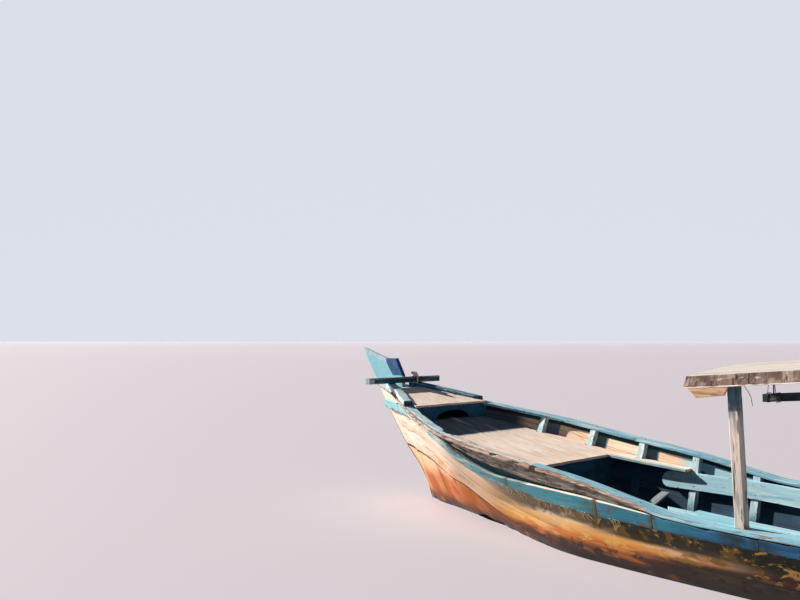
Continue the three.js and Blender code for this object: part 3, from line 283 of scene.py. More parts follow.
def spread(s0, s1, step=0.06, extra=()):
    """Places from s0 to s1 about a step apart, with some extra ones."""
    count = max(int(math.ceil((s1 - s0) / step)), 1)
    places = set(np.round(np.linspace(s0, s1, count + 1), 5))
    return sorted(places | {round(e, 5) for e in extra if s0 < e < s1})


set_stage()


# Noise for shapes


def wander(points, scale, seed=0):
    """Smooth noise from -1 to 1 at rows of points."""
    p = np.atleast_2d(np.asarray(points, float)) * scale + np.array([17.3, 5.1, 9.7]) * (seed + 1)
    i = np.floor(p).astype(np.int64)
    f = p - i
    f = f * f * (3 - 2 * f)
    total = np.zeros(len(p))
    for corner in range(8):
        step = np.array([corner & 1, corner >> 1 & 1, corner >> 2 & 1])
        c = i + step
        mixed = (c[:, 0] * 73856093) ^ (c[:, 1] * 19349663) ^ (c[:, 2] * 83492791)
        mixed = (mixed ^ (mixed >> 13)) * 1274126177
        value = ((mixed ^ (mixed >> 16)) & 0xFFFF) / 32767.5 - 1
        weight = np.prod(np.where(step == 1, f, 1 - f), axis=1)
        total += value * weight
    return total


def wander_at(s, scale, seed=0):
    return float(wander([(s, 0.37, 0.71)], scale, seed)[0])


# Materials
#
# Scales are in features a metre, along the grain, across it and up, or along x, y and z where the
# source is "object": 2.5 is a patch each 0.4 m, 70 a grain line each 14 mm. Real wood grain, at 1 to
# 3 mm, is too fine to show from here, so it is drawn that much coarser. Windows are in metres.

NOISE_DETAIL, NOISE_ROUGHNESS = 4.5, 0.58
SEED_SHIFT = (1, 1.7, 0.6)
GRAIN_WARP, GRAIN_SEED = 0.3, 3.1
GRAIN_LOW, GRAIN_HIGH = 0.3, 0.7
GRAIN_LIFT = 0.35             # how much of its darkening the grain gives back as light
BUMP_STRENGTH = 0.8
EVEN = (0.0, 0.1)             # a cut that all of the noise passes


def node(tree, kind, links=None, **settings):
    """A node with its settings, and its inputs linked or set."""
    made = tree.nodes.new(kind)
    for name, value in settings.items():
        setattr(made, name, value)
    for key, value in (links or {}).items():
        if isinstance(value, bpy.types.NodeSocket):
            tree.links.new(value, made.inputs[key])
        else:
            made.inputs[key].default_value = value
    return made


def coat(color, scale=(6, 6, 6), cut=(0.5, 0.6), where=(), bias=(), strength=1.0, warp=0.0, bump=0.0,
         rough=None, seed=0.0):
    """One layer of a finish: it covers where its noise passes the cut, inside its windows."""
    return {
        "color": color, "scale": scale, "cut": cut, "where": where, "bias": bias,
        "strength": strength, "warp": warp, "bump": bump, "rough": rough, "seed": seed,
    }


def finish(name, color, coats=(), rough=0.8, metal=0.0, grain=0.35, grain_scale=(2.5, 70, 70),
           source="grain", depth=0.004):
    """A procedural material: a base colour, coats over it, and a grain that both tints and rises."""
    mat = bpy.data.materials.new(name)
    mat.use_nodes = True
    mat.diffuse_color = rgb(color)
    tree = mat.node_tree
    shader = tree.nodes["Principled BSDF"]
    shader.inputs["Metallic"].default_value = metal
    place = node(tree, "ShaderNodeTexCoord").outputs["Object"]
    split = node(tree, "ShaderNodeSeparateXYZ", {0: place})
    values = {"x": split.outputs[0], "y": split.outputs[1], "z": split.outputs[2]}
    used = {row[0] for c in coats for row in (*c["where"], *c["bias"])}
    for wanted in sorted(used - set(values)):
        values[wanted] = node(tree, "ShaderNodeAttribute", attribute_name=wanted).outputs["Fac"]
    if source == "grain":
        place = node(tree, "ShaderNodeAttribute", attribute_name="grain").outputs["Vector"]

    mixed, dull, height, shade = rgb(color), rough, None, None
    fine = coat(color, grain_scale, warp=GRAIN_WARP, seed=GRAIN_SEED)
    for c in (fine, *coats):
        shift = tuple(c["seed"] * step for step in SEED_SHIFT)
        moved = node(tree, "ShaderNodeMapping", {"Vector": place, "Scale": c["scale"], "Location": shift})
        value = node(tree, "ShaderNodeTexNoise", {
            "Vector": moved.outputs[0], "Scale": 1.0, "Detail": NOISE_DETAIL, "Roughness": NOISE_ROUGHNESS,
            "Distortion": c["warp"],
        }).outputs["Fac"]
        if c is fine:
            shade = node(tree, "ShaderNodeMapRange", {
                "Value": value, "From Min": GRAIN_LOW, "From Max": GRAIN_HIGH,
                "To Min": 1 - grain, "To Max": 1 + grain * GRAIN_LIFT,
            }).outputs["Result"]
            height = value
            continue
        for key, start, stop, amount in c["bias"]:
            lift = node(tree, "ShaderNodeMapRange", {
                "Value": values[key], "From Min": start, "From Max": stop, "To Max": amount,
            }, interpolation_type="SMOOTHSTEP")
            both = {0: value, 1: lift.outputs["Result"]}
            value = node(tree, "ShaderNodeMath", both, operation="ADD").outputs[0]
        low, high = c["cut"]
        mask = node(tree, "ShaderNodeMapRange", {
            "Value": value, "From Min": low, "From Max": high, "To Max": c["strength"],
        }, interpolation_type="SMOOTHSTEP").outputs["Result"]
        for key, start, stop in c["where"]:
            inside = node(tree, "ShaderNodeMapRange", {
                "Value": values[key], "From Min": start, "From Max": stop,
            }, interpolation_type="SMOOTHSTEP")
            both = {0: mask, 1: inside.outputs["Result"]}
            mask = node(tree, "ShaderNodeMath", both, operation="MULTIPLY").outputs[0]
        both = {0: mask, 6: mixed, 7: rgb(c["color"])}
        mixed = node(tree, "ShaderNodeMix", both, data_type="RGBA").outputs[2]
        if c["bump"]:
            raised = {0: mask, 1: c["bump"], 2: height}
            height = node(tree, "ShaderNodeMath", raised, operation="MULTIPLY_ADD").outputs[0]
        if c["rough"] is not None:
            both = {0: mask, 2: dull, 3: c["rough"]}
            dull = node(tree, "ShaderNodeMix", both, data_type="FLOAT").outputs[0]
    both = {0: 1.0, 6: mixed, 7: shade}
    tinted = node(tree, "ShaderNodeMix", both, data_type="RGBA", blend_type="MULTIPLY")
    tree.links.new(tinted.outputs[2], shader.inputs["Base Color"])
    if isinstance(dull, float):
        shader.inputs["Roughness"].default_value = dull
    else:
        tree.links.new(dull, shader.inputs["Roughness"])
    bump = node(tree, "ShaderNodeBump", {"Strength": BUMP_STRENGTH, "Distance": depth, "Height": height})
    tree.links.new(bump.outputs[0], shader.inputs["Normal"])
    return mat


WORN = ("wear", 0.25, 1.0)    # a bias row without its amount: more of the coat towards worn corners


def span(key, low, high, fade):
    """Windows that keep a coat between two places, fading in and out over the same length."""
    return [(key, low, low + fade), (key, high, high - fade)]


# Painted shade: where the inner planks low in the cockpit, under the deck shelf, are painted dark: along the
# hull, and up to what height
SHELF_SHADE = [
    [("x", 2.75, 2.65), ("x", 2.26, 2.30), ("z", 0.562, 0.548)],
    [("x", 2.30, 2.26), ("x", 1.66, 1.70), ("z", 0.510, 0.497)],
    [("x", 1.70, 1.66), ("z", 0.40, 0.37)],
]
RIB_SHADE_FORE, RIB_SHADE_AFT, RIB_SHADE_Y = 0.028, 0.172, -0.3   # painted shadow: dark strip aft of each fore rib

# Outer face of the side planks: cream paint at the bow, yellow and orange amidships, dark olive aft,
# partly paint and partly painted shade; a painted shadow under the strake, and painted glints off the water
# aft.
HULL_OUTER = finish("sun_bleached_hull_paint_with_painted_light_and_shade", "#f1dcc8", [
    coat("#e9cfb6", (2.0, 1, 20), (0.48, 0.64), strength=0.8, seed=1),
    coat("#e8953c", (1.6, 1, 9), (0.50, 0.64), [("x", 4.25, 4.0), ("x", 3.1, 3.4), ("level", 5.9, 5.0)],
         strength=0.85, warp=0.8, seed=4),
    coat("#b08a6a", (1.0, 1, 60), (0.62, 0.70), [("x", 4.3, 4.0)], strength=0.5, seed=7, bump=-0.4),
    coat("#efc58c", (0.9, 1, 12), (0.30, 0.52), [("x", 3.5, 2.7)], warp=0.3, seed=2),
    coat("#e8a247", (1.3, 1, 14), (0.36, 0.56), [("x", 3.3, 2.6), ("z", 0.32, 0.20)], warp=0.4, seed=3),
    coat("#cc6f28", (1.6, 1, 18), (0.34, 0.54), [("x", 3.2, 2.5), ("z", 0.235, 0.17)], warp=0.5, seed=6),
    coat("#f2c062", (3.2, 1, 24), (0.56, 0.65), [("x", 3.0, 2.4), ("z", 0.33, 0.27)], strength=0.8, warp=0.8,
         seed=9),
    # painted shadow of the strake: grey-brown, dark brown and dark olive bands on the planks under it
    coat("#84745a", (2.2, 1, 10), (0.30, 0.46), [("x", 3.0, 2.4), ("z", 0.285, 0.325)], strength=0.9,
         warp=0.6, seed=11),
    coat("#4a3c28", (7, 1, 14), (0.50, 0.62), [("x", 2.8, 2.0), ("z", 0.27, 0.31)], strength=0.8, warp=1.0,
         seed=12),
    coat("#2f2c1d", (1.4, 1, 7), (0.24, 0.42), [("x", 1.85, 1.25), ("z", 0.225, 0.27)], strength=0.95,
         warp=0.6, seed=14),
    coat("#5a2410", (2.2, 1, 20), (0.34, 0.50), [("x", 3.1, 2.4), ("z", 0.175, 0.115)], strength=0.95,
         warp=0.5, seed=8),
    coat("#1f1610", (2.4, 1, 12), (0.28, 0.44), [("x", 1.5, 0.8), ("z", 0.20, 0.165)], strength=0.93,
         warp=0.5, seed=16),
    # dark olive all over aft: partly the paint, partly painted shade where the light grazes the side
    coat("#1e2018", (1.0, 1, 7), (0.22, 0.42), [("x", 0.80, 0.20)], strength=0.96, warp=0.6, seed=17),
    # painted light: ochre and yellow ripples, glints of light thrown up off the water
    coat("#8f6c26", (3.6, 1, 12), (0.52, 0.61), [("x", 2.0, 1.5), ("z", 0.14, 0.19)], strength=0.8, warp=1.3,
         seed=20),
    coat("#dcae55", (5.5, 1, 17), (0.575, 0.65), [("x", 2.0, 1.5), ("z", 0.14, 0.19)], strength=0.85,
         warp=1.8, seed=21),
    coat("#7a1f1c", (3.0, 1, 18), (0.58, 0.66), [("x", 1.0, 0.5), ("z", 0.26, 0.12)], strength=0.8, seed=23),
    coat("#c98e5c", (0.7, 1, 120), (0.63, 0.68), [("x", 2.4, 1.6), ("z", 0.16, 0.12)], strength=0.6, seed=24,
         bump=-0.5),
    coat("#1a0e09", (16, 1, 40), (0.52, 0.60), [("x", 3.2, 2.4), ("z", 0.20, 0.10)], strength=0.85, seed=25),
    coat("#24110a", (3, 1, 14), (0.34, 0.56), [("z", 0.13, 0.06)], strength=0.94, seed=26, rough=0.45),
    coat("#0b0908", (6, 1, 14), (0.36, 0.52), [("z", 0.075, 0.03)], strength=0.97, seed=29, rough=0.3),
    coat("#7a5534", (3, 1, 60), (0.60, 0.68), [("x", 2.3, 2.8)], strength=0.6, seed=32, bump=-0.6),
    coat("#4c3220", where=[("wear", 0.5, 0.95)], cut=EVEN, strength=0.8),
], grain=0.16, depth=0.003)

# Inner face of the planks: bare with orange seams at the bow, painted light blue aft, darker at the bottom;
# painted shade in the fore well, aft of each fore rib and under the deck shelf.
HULL_INNER = finish("bare_and_painted_inner_planks_with_painted_shade", "#efd3b6", [
    coat("#e2b48a", (0.8, 1, 26), (0.46, 0.62), seed=2),
    coat("#f6e2cb", (1.4, 1, 60), (0.52, 0.62), seed=3),
    coat("#b57340", cut=EVEN, where=[("wear", 0.4, 0.95)], strength=0.85),
    # painted shade: dark teal on the planks of the fore well, under the foredeck and beside the fore bulkhead
    coat("#1c4658", (1.2, 1, 9), (0.22, 0.36), [("x", 3.62, 3.80)], strength=0.93, seed=4),
    # painted shadow of each fore rib on the starboard planks, thrown aft by the sun from the bow
    *[coat("#1f5f78", (2.5, 1, 14), (0.20, 0.34), [
        ("x", STEM_X - s - RIB_SHADE_FORE, STEM_X - s - RIB_SHADE_FORE - 0.006),
        ("x", STEM_X - s - RIB_SHADE_AFT, STEM_X - s - RIB_SHADE_AFT + 0.010),
        ("y", RIB_SHADE_Y, RIB_SHADE_Y - 0.04),
    ], strength=0.88, seed=40) for s in RIBS[:4]],
    coat("#a5cdd8", (1.0, 1, 5), (0.25, 0.35), [("x", 2.0, 1.8)], seed=5),
    coat("#3f9fb8", (1.2, 1, 6), (0.42, 0.56), [("x", 0.75, 0.4)], strength=0.9, seed=8),
    # painted shade under the deck shelf and low in the cockpit
    *[coat("#174f72", (1.4, 1, 7), EVEN, windows, strength=0.97, seed=12) for windows in SHELF_SHADE],
    # deeper painted shade low under the fore end of the shelf
    coat("#0c2f47", (1.8, 1, 9), (0.42, 0.56), [("x", 2.75, 2.65), ("z", 0.42, 0.32)], strength=0.85,
         seed=14),
    coat("#80705c", (3, 1, 50), (0.60, 0.68), [("x", 1.9, 2.2)], strength=0.5, seed=15),
    coat("#14394c", (1.6, 1, 8), (0.30, 0.50), [("z", 0.16, 0.0)], strength=0.85, seed=21),
], grain=0.14, grain_scale=(1.6, 1, 120), depth=0.0025)

# Carved hardwood log, oiled and sun-bleached: pale on top, orange below, wet and black at the water.
LOG = finish("bare_orange_log", "#d98f4f", [
    coat("#f0bf95", (1.6, 1, 7), (0.30, 0.55), [("z", 0.26, 0.44)], warp=0.3, seed=2),
    coat("#d9772c", (3.2, 1, 5), (0.44, 0.60), [("z", 0.46, 0.34)], strength=0.85, warp=0.6, seed=5),
    coat("#a8501f", (5.5, 1, 7), (0.50, 0.64), [("z", 0.42, 0.26)], strength=0.8, warp=0.8, seed=6),
    coat("#6f3517", (16, 1, 9), (0.56, 0.66), [("x", 4.4, 4.2)], strength=0.65, warp=0.6, seed=8, bump=-0.5),
    coat("#8f4a22", (3.0, 1, 7), (0.36, 0.58), [("x", 3.5, 2.9)], strength=0.85, warp=0.4, seed=11),
    coat("#8a4420", (6, 1, 5), (0.36, 0.60), [("z", 0.22, 0.08)], strength=0.85, seed=14),
    coat("#6a6433", (5, 1, 8), (0.50, 0.60), [("x", 4.1, 3.6), ("z", 0.18, 0.08)], strength=0.55, seed=17),
    coat("#4a2413", (6, 1, 10), (0.32, 0.56), [("z", 0.14, 0.04)], strength=0.9, seed=18, rough=0.5),
    coat("#120c08", (6, 1, 12), (0.36, 0.52), [("z", 0.06, 0.015)], strength=0.96, seed=20, rough=0.3),
], grain=0.12, grain_scale=(30, 1, 16), depth=0.004)

# Caulking of cotton and tar pressed in by hand: dark and ragged, with dry flecks.
SEAM_TAR = finish("dark_seam_caulking", "#3f2a1e", [
    coat("#8a6143", (14, 30, 30), (0.52, 0.62), seed=3),
    coat("#1c130e", (9, 20, 20), (0.5, 0.6), seed=6),
], grain=0.2)

# Rubbing strake: turquoise at the stem, pale and worn along the shoulder, deep blue aft; its whitish top edge
# is chalky paint and partly a painted highlight.
WALE_PAINT = finish("worn_blue_strake_paint_and_painted_highlight", "#14557a", [
    coat("#1f6d92", (2.0, 8, 10), (0.45, 0.60), seed=1),
    coat("#2b7b93", (1.0, 8, 8), (0.10, 0.30), [("x", 0.5, 1.0)], seed=2),
    coat("#47909d", (1.0, 8, 8), (0.15, 0.40), [("x", 1.35, 2.1)], seed=3),
    coat("#86b9c4", (1.2, 8, 8), (0.20, 0.45), [("x", 2.45, 3.1)], seed=4),
    coat("#c9cbb8", (1.4, 10, 18), (0.38, 0.56), [("x", 3.25, 3.5), ("x", 4.12, 4.0)], seed=9),
    coat("#8fae9c", (1.8, 12, 22), (0.52, 0.62), [("x", 3.2, 3.5), ("x", 4.12, 4.0)], strength=0.8, seed=10),
    coat("#5fa0a8", (1.6, 12, 16), (0.54, 0.64), [("x", 1.0, 1.5)], strength=0.6, seed=5),
    coat("#d6d6c6", (2.0, 12, 26), (0.52, 0.62), [("x", 2.3, 3.1), ("x", 4.2, 3.9)], strength=0.75, seed=6),
    coat("#8bc6cd", (2.0, 6, 6), EVEN, [("x", 4.04, 4.16)]),
    coat("#37695c", (2.4, 12, 12), (0.50, 0.62), [("x", 1.9, 1.5), ("x", 0.6, 0.9)], strength=0.6, seed=11),
    coat("#8b7f66", (3.2, 24, 26), (0.55, 0.63), [("x", 2.0, 2.6), ("x", 4.1, 3.8)], strength=0.85, seed=14,
         bump=-0.5),
    # whitish top edge: chalky paint, and a painted highlight where the sun catches the strake's top
    coat("#e9e4d8", (5.0, 30, 30), (0.22, 0.42), [("level", 0.93, 0.97), ("x", 1.02, 1.12), ("x", 2.32, 2.2)],
         seed=17),
    coat("#b8c6c0", (4.0, 30, 30), (0.30, 0.50), [("level", 0.93, 0.97), ("x", 2.2, 2.4)], strength=0.8,
         seed=18),
    *[coat("#6a4a2c", (34, 8, 5), (0.42, 0.58), span("x", x - 0.045, x + 0.045, 0.035),
           strength=0.9, seed=seed) for x, seed in ((2.50, 20), (1.54, 21))],
    coat("#4b3523", (34, 8, 5), (0.40, 0.56), span("x", 1.00, 1.10, 0.04), strength=0.95, seed=22),
    coat("#15242a", (7, 6, 4), (0.34, 0.56), [("x", 0.16, 0.28), ("x", 0.62, 0.46)], strength=0.8, seed=23),
    coat("#6a5236", (7, 16, 14), (0.58, 0.68), bias=[("level", 0.3, 0.05, 0.08)], strength=0.8, seed=24),
], grain=0.18)

# Brushed oil paint on the planking between strake and rail: dark teal, dirty towards the bow. The same finish
# is painted shade on the inner planking just under the rail.
RECESS_AND_RAIL_SHADE = finish("dark_teal_recess_paint_and_painted_rail_shade", "#114650", [
    coat("#0b343c", (2, 1, 14), (0.45, 0.6), seed=2),
    coat("#3f6f78", (3, 1, 40), (0.60, 0.68), strength=0.6, seed=5),
    coat("#efe0cd", (3, 1, 10), (0.10, 0.20), [("x", 4.16, 4.24)], seed=6),
    coat("#2b211a", (3, 1, 30), (0.30, 0.42), [("x", 4.30, 4.20), ("x", 3.72, 3.9)], strength=0.8, seed=7),
], grain=0.25)

# Sawn hardwood plank, its paint gone: long grey-brown grain, black splits and pale chips.
BARE = finish("grey_brown_bare_plank", "#978b7e", [
    coat("#b9aa97", (2.0, 40, 16), (0.48, 0.62), warp=0.8, seed=2),
    coat("#63564a", (2.4, 36, 14), (0.53, 0.64), warp=1.0, seed=5, bump=-0.4),
    coat("#2e2720", (4.0, 22, 18), (0.55, 0.62), [("x", 2.3, 3.0)], warp=2.0, seed=8, bump=-1.2),
    coat("#e2d8c8", (5.0, 30, 30), (0.60, 0.67), strength=0.9, warp=2.0, seed=11, bump=0.4),
    coat("#c9b3a2", (1.8, 20, 20), (0.46, 0.60), [("x", 3.15, 3.5)], strength=0.75, warp=1.0, seed=13),
    coat("#6c7f80", (2.0, 14, 14), (0.55, 0.66), [("x", 2.3, 1.4)], strength=0.6, seed=14),
    coat("#241c15", (6.0, 20, 20), (0.52, 0.62), bias=[("wear", 0.3, 1.0, 0.08)], strength=0.7, seed=17),
], grain=0.5, depth=0.006)

# Brushed oil paint on the rail's fore part: chalky pale blue in long strokes, grey wood at the corners.
RAIL = finish("pale_blue_rail_paint", "#a3cfde", [
    coat("#c2dce3", (1.6, 14, 10), (0.44, 0.60), seed=2),
    coat("#7db6cc", (1.5, 12, 10), (0.54, 0.66), strength=0.7, seed=5),
    coat("#e9e3da", (2.2, 30, 20), (0.55, 0.63), strength=0.8, warp=0.8, seed=8),
    coat("#7a7268", (5.0, 34, 30), (0.63, 0.70), bias=[(*WORN, 0.05)], strength=0.9, seed=11, bump=-0.6),
], grain=0.12)

# Brushed oil paint on the rail's aft part: fuller blue, with small black chips.
RAIL_AFT = finish("light_blue_rail_paint", "#7fc0d8", [
    coat("#b9d5dc", (1.6, 20, 14), (0.50, 0.64), seed=2, strength=0.8),
    coat("#8d8170", (5.0, 34, 30), (0.58, 0.66), bias=[(*WORN, 0.10)], strength=0.9, seed=11, bump=-0.6),
    coat("#26343a", (30, 60, 60), (0.69, 0.74), strength=0.7, seed=14, bump=-0.8),
], grain=0.16)

# Sawn hardwood rail with little paint left: bleached, with traces of blue and dark checks.
RAIL_BARE = finish("bleached_rail_wood", "#eaddd2", [
    coat("#c9b6a4", (2.0, 50, 18), (0.46, 0.62), warp=0.8, seed=2),
    coat("#a9cfdd", (1.8, 16, 10), (0.52, 0.62), strength=0.7, seed=5),
    coat("#5d5148", (5.0, 60, 40), (0.60, 0.68), seed=8, bump=-0.7),
    coat("#15181a", (18, 34, 30), (0.67, 0.71), seed=11, bump=-1.4),
], grain=0.35, depth=0.005)

# Rotten outer edge of the rail: pinkish grey end grain, cracked, with two holes, their black insides painted
# shade.
RAIL_EDGE = finish("weathered_rail_edge_and_painted_hole_shade", "#c6ab9d", [
    coat("#957e72", (2.4, 50, 30), (0.48, 0.62), warp=1.0, seed=2, bump=-0.5),
    coat("#a98a66", (1.8, 20, 20), (0.44, 0.60), [("x", 2.4, 1.8)], seed=5),
    coat("#e9dccd", (4.0, 60, 40), (0.58, 0.66), seed=8),
    coat("#2b221b", (5.0, 50, 40), (0.58, 0.66), bias=[(*WORN, 0.06)], seed=11, bump=-1.0),
    # painted shade: the black insides of two holes, with a dent
    *[coat("#0c0908", (14, 40, 30), (0.36, 0.46), span("x", low, high, 0.02), seed=seed, bump=-1.0)
      for low, high, seed in ((2.515, 2.605, 14), (2.09, 2.17, 15))],
], grain=0.5, depth=0.006)

# Brushed oil paint on the starboard rail: mid blue, whitened at the corners.
FAR_RAIL = finish("blue_far_rail_paint", "#86bfd3", [
    coat("#c4dbe2", (1.6, 20, 12), (0.48, 0.62), bias=[(*WORN, 0.06)], strength=0.8, seed=2),
    coat("#4f95b3", (1.4, 12, 12), (0.52, 0.66), strength=0.7, seed=5),
    coat("#6b6558", (7.0, 40, 40), (0.62, 0.70), bias=[(*WORN, 0.06)], seed=8, bump=-0.6),
], grain=0.15)

# Brushed oil paint on the port toe rail: pale blue, speckled with dark chips.
TOE_PAINT = finish("speckled_toe_rail_paint", "#c6dfe6", [
    coat("#88bfd2", (3.0, 18, 14), (0.52, 0.62), seed=2, strength=0.8),
    coat("#22323a", (14, 40, 30), (0.63, 0.67), seed=5, bump=-0.8),
    coat("#ece8e0", (4.0, 30, 30), (0.58, 0.66), bias=[(*WORN, 0.08)], seed=8),
], grain=0.15)

# Brushed oil paint on the starboard toe rail: deeper blue, white at its corners; the deeper blue is partly
# painted shade on its face turned from the sun.
TOE_FAR = finish("blue_toe_rail_paint_and_painted_shade", "#3c8aa6", [
    coat("#c7dbe2", (3.0, 20, 20), (0.55, 0.64), bias=[(*WORN, 0.16)], seed=2),
    coat("#2a6c93", (2.0, 12, 12), (0.50, 0.64), strength=0.8, seed=5),
], grain=0.15)

# Brushed enamel on the prow board: smooth turquoise in soft patches.
PROW = finish("turquoise_prow_paint", "#8ccad8", [
    coat("#9cd4de", (2.5, 6, 4), (0.45, 0.62), seed=2),
    coat("#79bccd", (3.0, 7, 5), (0.54, 0.66), strength=0.5, seed=5),
    coat("#d9d8cf", (10, 30, 30), (0.66, 0.72), bias=[(*WORN, 0.10)], seed=8, bump=-0.5),
], grain=0.06, grain_scale=(14, 40, 14))

# Brushed enamel of the prow's top band: pale lavender, thin at the corners.
PROW_TOP = finish("pale_lavender_band_paint", "#b9cfdd", [
    coat("#9cbfd4", (3.5, 16, 16), (0.50, 0.62), seed=2),
    coat("#8d9aa6", (12, 34, 34), (0.64, 0.70), bias=[(*WORN, 0.08)], seed=5),
], grain=0.08, grain_scale=(14, 40, 14))

# Brushed enamel of the prow's second band: dark blue, rubbed lighter at the corners.
PROW_BAND = finish("dark_blue_band_paint", "#24619c", [
    coat("#1c4a78", (4.0, 14, 14), (0.50, 0.62), seed=2),
    coat("#6fa0c0", (12, 30, 30), (0.66, 0.72), bias=[(*WORN, 0.10)], seed=5),
], grain=0.15)

# Brushed oil paint on sawn timber: dark teal, grey at the corners, a pale end to port.
DARK_TEAL = finish("dark_teal_timber_paint", "#1b5570", [
    coat("#0f3a52", (3, 14, 14), (0.46, 0.6), seed=2),
    coat("#9a9486", (4, 30, 30), (0.52, 0.62), bias=[("wear", 0.2, 1.0, 0.05)], strength=0.5, seed=5,
         bump=-0.6),
    coat("#9dbcc2", (9, 30, 30), (0.20, 0.34), [("y", 0.495, 0.512), ("z", 1.20, 1.22)], strength=0.9,
         seed=8),
], grain=0.3)

# Sawn hardwood that rope has rubbed bare: grey wood with rests of teal.
BEAM_TOP = finish("worn_beam_top", "#9aa09a", [
    coat("#6d6a62", (3, 40, 40), (0.45, 0.6), seed=2, bump=-0.5),
    coat("#2c5568", (3, 16, 16), (0.56, 0.64), seed=5),
    coat("#d4c9b6", (6, 40, 40), (0.60, 0.68), seed=8),
], grain=0.45)

# Brushed oil paint on boards: an even mid blue, painted darker as shade, since the fore bulkhead faces away
# from the sun.
BULKHEAD = finish("mid_blue_bulkhead_paint_and_painted_shade", "#1f6385", [
    coat("#174e6e", (5, 5, 9), (0.48, 0.62), strength=0.8, seed=2),
    coat("#6a98a6", (14, 14, 30), (0.66, 0.72), strength=0.7, seed=5),
], grain=0.2)

# Sawn deck boards, scrubbed and sun-bleached: cream to white, brown flecks; painted shade under the foredeck
# and its arch, and a painted black spot under the rail's notch.
DECK_WOOD = finish("bleached_deck_boards_and_painted_shade", "#fbe7da", [
    coat("#f7dfcd", (0.7, 8, 7), (0.46, 0.60), seed=1),
    coat("#efd2b8", (0.9, 12, 18), (0.46, 0.64), warp=0.6, seed=2),
    coat("#faf1e6", (1.2, 14, 20), (0.52, 0.64), seed=5),
    coat("#b79c85", (1.4, 60, 60), (0.62, 0.70), strength=0.55, seed=8, bump=-0.5),
    coat("#8d7460", (16, 40, 40), (0.70, 0.76), strength=0.8, seed=11, bump=-0.6),
    coat("#6b5542", cut=EVEN, where=[("wear", 0.6, 1.0)], strength=0.3),
    # painted shadow of the foredeck on the main deck
    coat("#2c5566", (1.2, 8, 8), (0.26, 0.48), [("x", 3.60, 3.66), ("z", 0.97, 0.95)], strength=0.8, seed=31),
    # painted shade under the fore bulkhead's arch
    coat("#1c1713", cut=EVEN, where=[("x", 4.10, 4.15), ("z", 0.97, 0.95)], strength=0.93),
    # painted shade: a black spot on the deck under the rail's notch
    coat("#0d0b0a", (9, 9, 9), (0.30, 0.40), [("x", 3.12, 3.18), ("x", 3.40, 3.34), ("y", 0.60, 0.66)],
         seed=12),
], grain=0.10, grain_scale=(1.8, 60, 60), depth=0.0009)

# Sawn floorboards, damp: grey-blue from old paint, with dark grain.
FLOOR_WOOD = finish("grey_floor_boards", "#5d6a70", [
    coat("#7f8786", (1.4, 30, 18), (0.46, 0.62), seed=2),
    coat("#3d4f59", (2.0, 14, 12), (0.50, 0.62), seed=5),
    coat("#39342d", (3.0, 40, 40), (0.58, 0.66), seed=8, bump=-0.6),
], grain=0.35, grain_scale=(1.8, 100, 100))

# Planed softwood, bare: cream with a brown grain.
CREAM_TIMBER = finish("bare_cream_timber", "#dcb78f", [
    coat("#c2915f", (2, 30, 20), (0.46, 0.62), warp=1.0, seed=2),
    coat("#8b6a4a", (3, 60, 50), (0.58, 0.66), seed=5, bump=-0.5),
    coat("#efdcc2", (4, 40, 40), (0.58, 0.66), seed=8),
], grain=0.4)

# Brushed oil paint on the shelf's inner board: pale blue, whitened by feet.
SHELF_EDGE = finish("pale_blue_deck_edge", "#a8cfda", [
    coat("#e2e2da", (3, 30, 30), (0.52, 0.62), seed=2),
    coat("#7fa9b8", (3, 20, 20), (0.55, 0.66), seed=5),
], grain=0.2)

# Brushed oil paint on sawn frames: pale blue with white and grey wear, dark in the bilge; painted shade on
# the ribs under the deck shelf.
RIB_PAINT = finish("pale_blue_rib_paint_and_painted_shade", "#a9cfdc", [
    coat("#d5e2e4", (3, 16, 16), (0.48, 0.60), seed=2),
    coat("#7fb4c8", (2.5, 14, 14), (0.52, 0.66), strength=0.8, seed=5),
    coat("#7a7466", (9, 40, 40), (0.62, 0.69), bias=[(*WORN, 0.08)], seed=8, bump=-0.6),
    coat("#28333a", (16, 40, 40), (0.68, 0.73), seed=11),
    # painted shade on the ribs under the deck shelf
    coat("#15486a", cut=EVEN, where=[("x", 2.02, 2.06), ("x", 2.75, 2.70), ("z", 0.545, 0.53)],
         strength=0.97),
    coat("#1b4a63", (3, 8, 8), (0.3, 0.5), where=[("z", 0.26, 0.14)], strength=0.8, seed=13),
], grain=0.15)

# Brushed oil paint on sawn stringers: pale blue in long strokes.
STRINGER_PAINT = finish("pale_blue_stringer_paint", "#9fcbdb", [
    coat("#c3dbe2", (1.6, 16, 12), (0.46, 0.60), seed=2),
    coat("#6da9c0", (1.6, 12, 10), (0.54, 0.68), strength=0.8, seed=5),
    coat("#7a7466", (9, 40, 40), (0.63, 0.70), bias=[(*WORN, 0.08)], seed=8, bump=-0.6),
], grain=0.15)

# Brushed oil paint on the side deck: light blue, worn at its edge.
SIDE_DECK_PAINT = finish("light_blue_side_deck_paint", "#8ccadd", [
    coat("#b5dbe4", (1.6, 18, 14), (0.46, 0.60), seed=2),
    coat("#5fa9c2", (1.6, 12, 10), (0.54, 0.68), strength=0.7, seed=5),
    coat("#8d8577", (12, 50, 50), (0.66, 0.72), bias=[(*WORN, 0.08)], seed=8),
], grain=0.16)

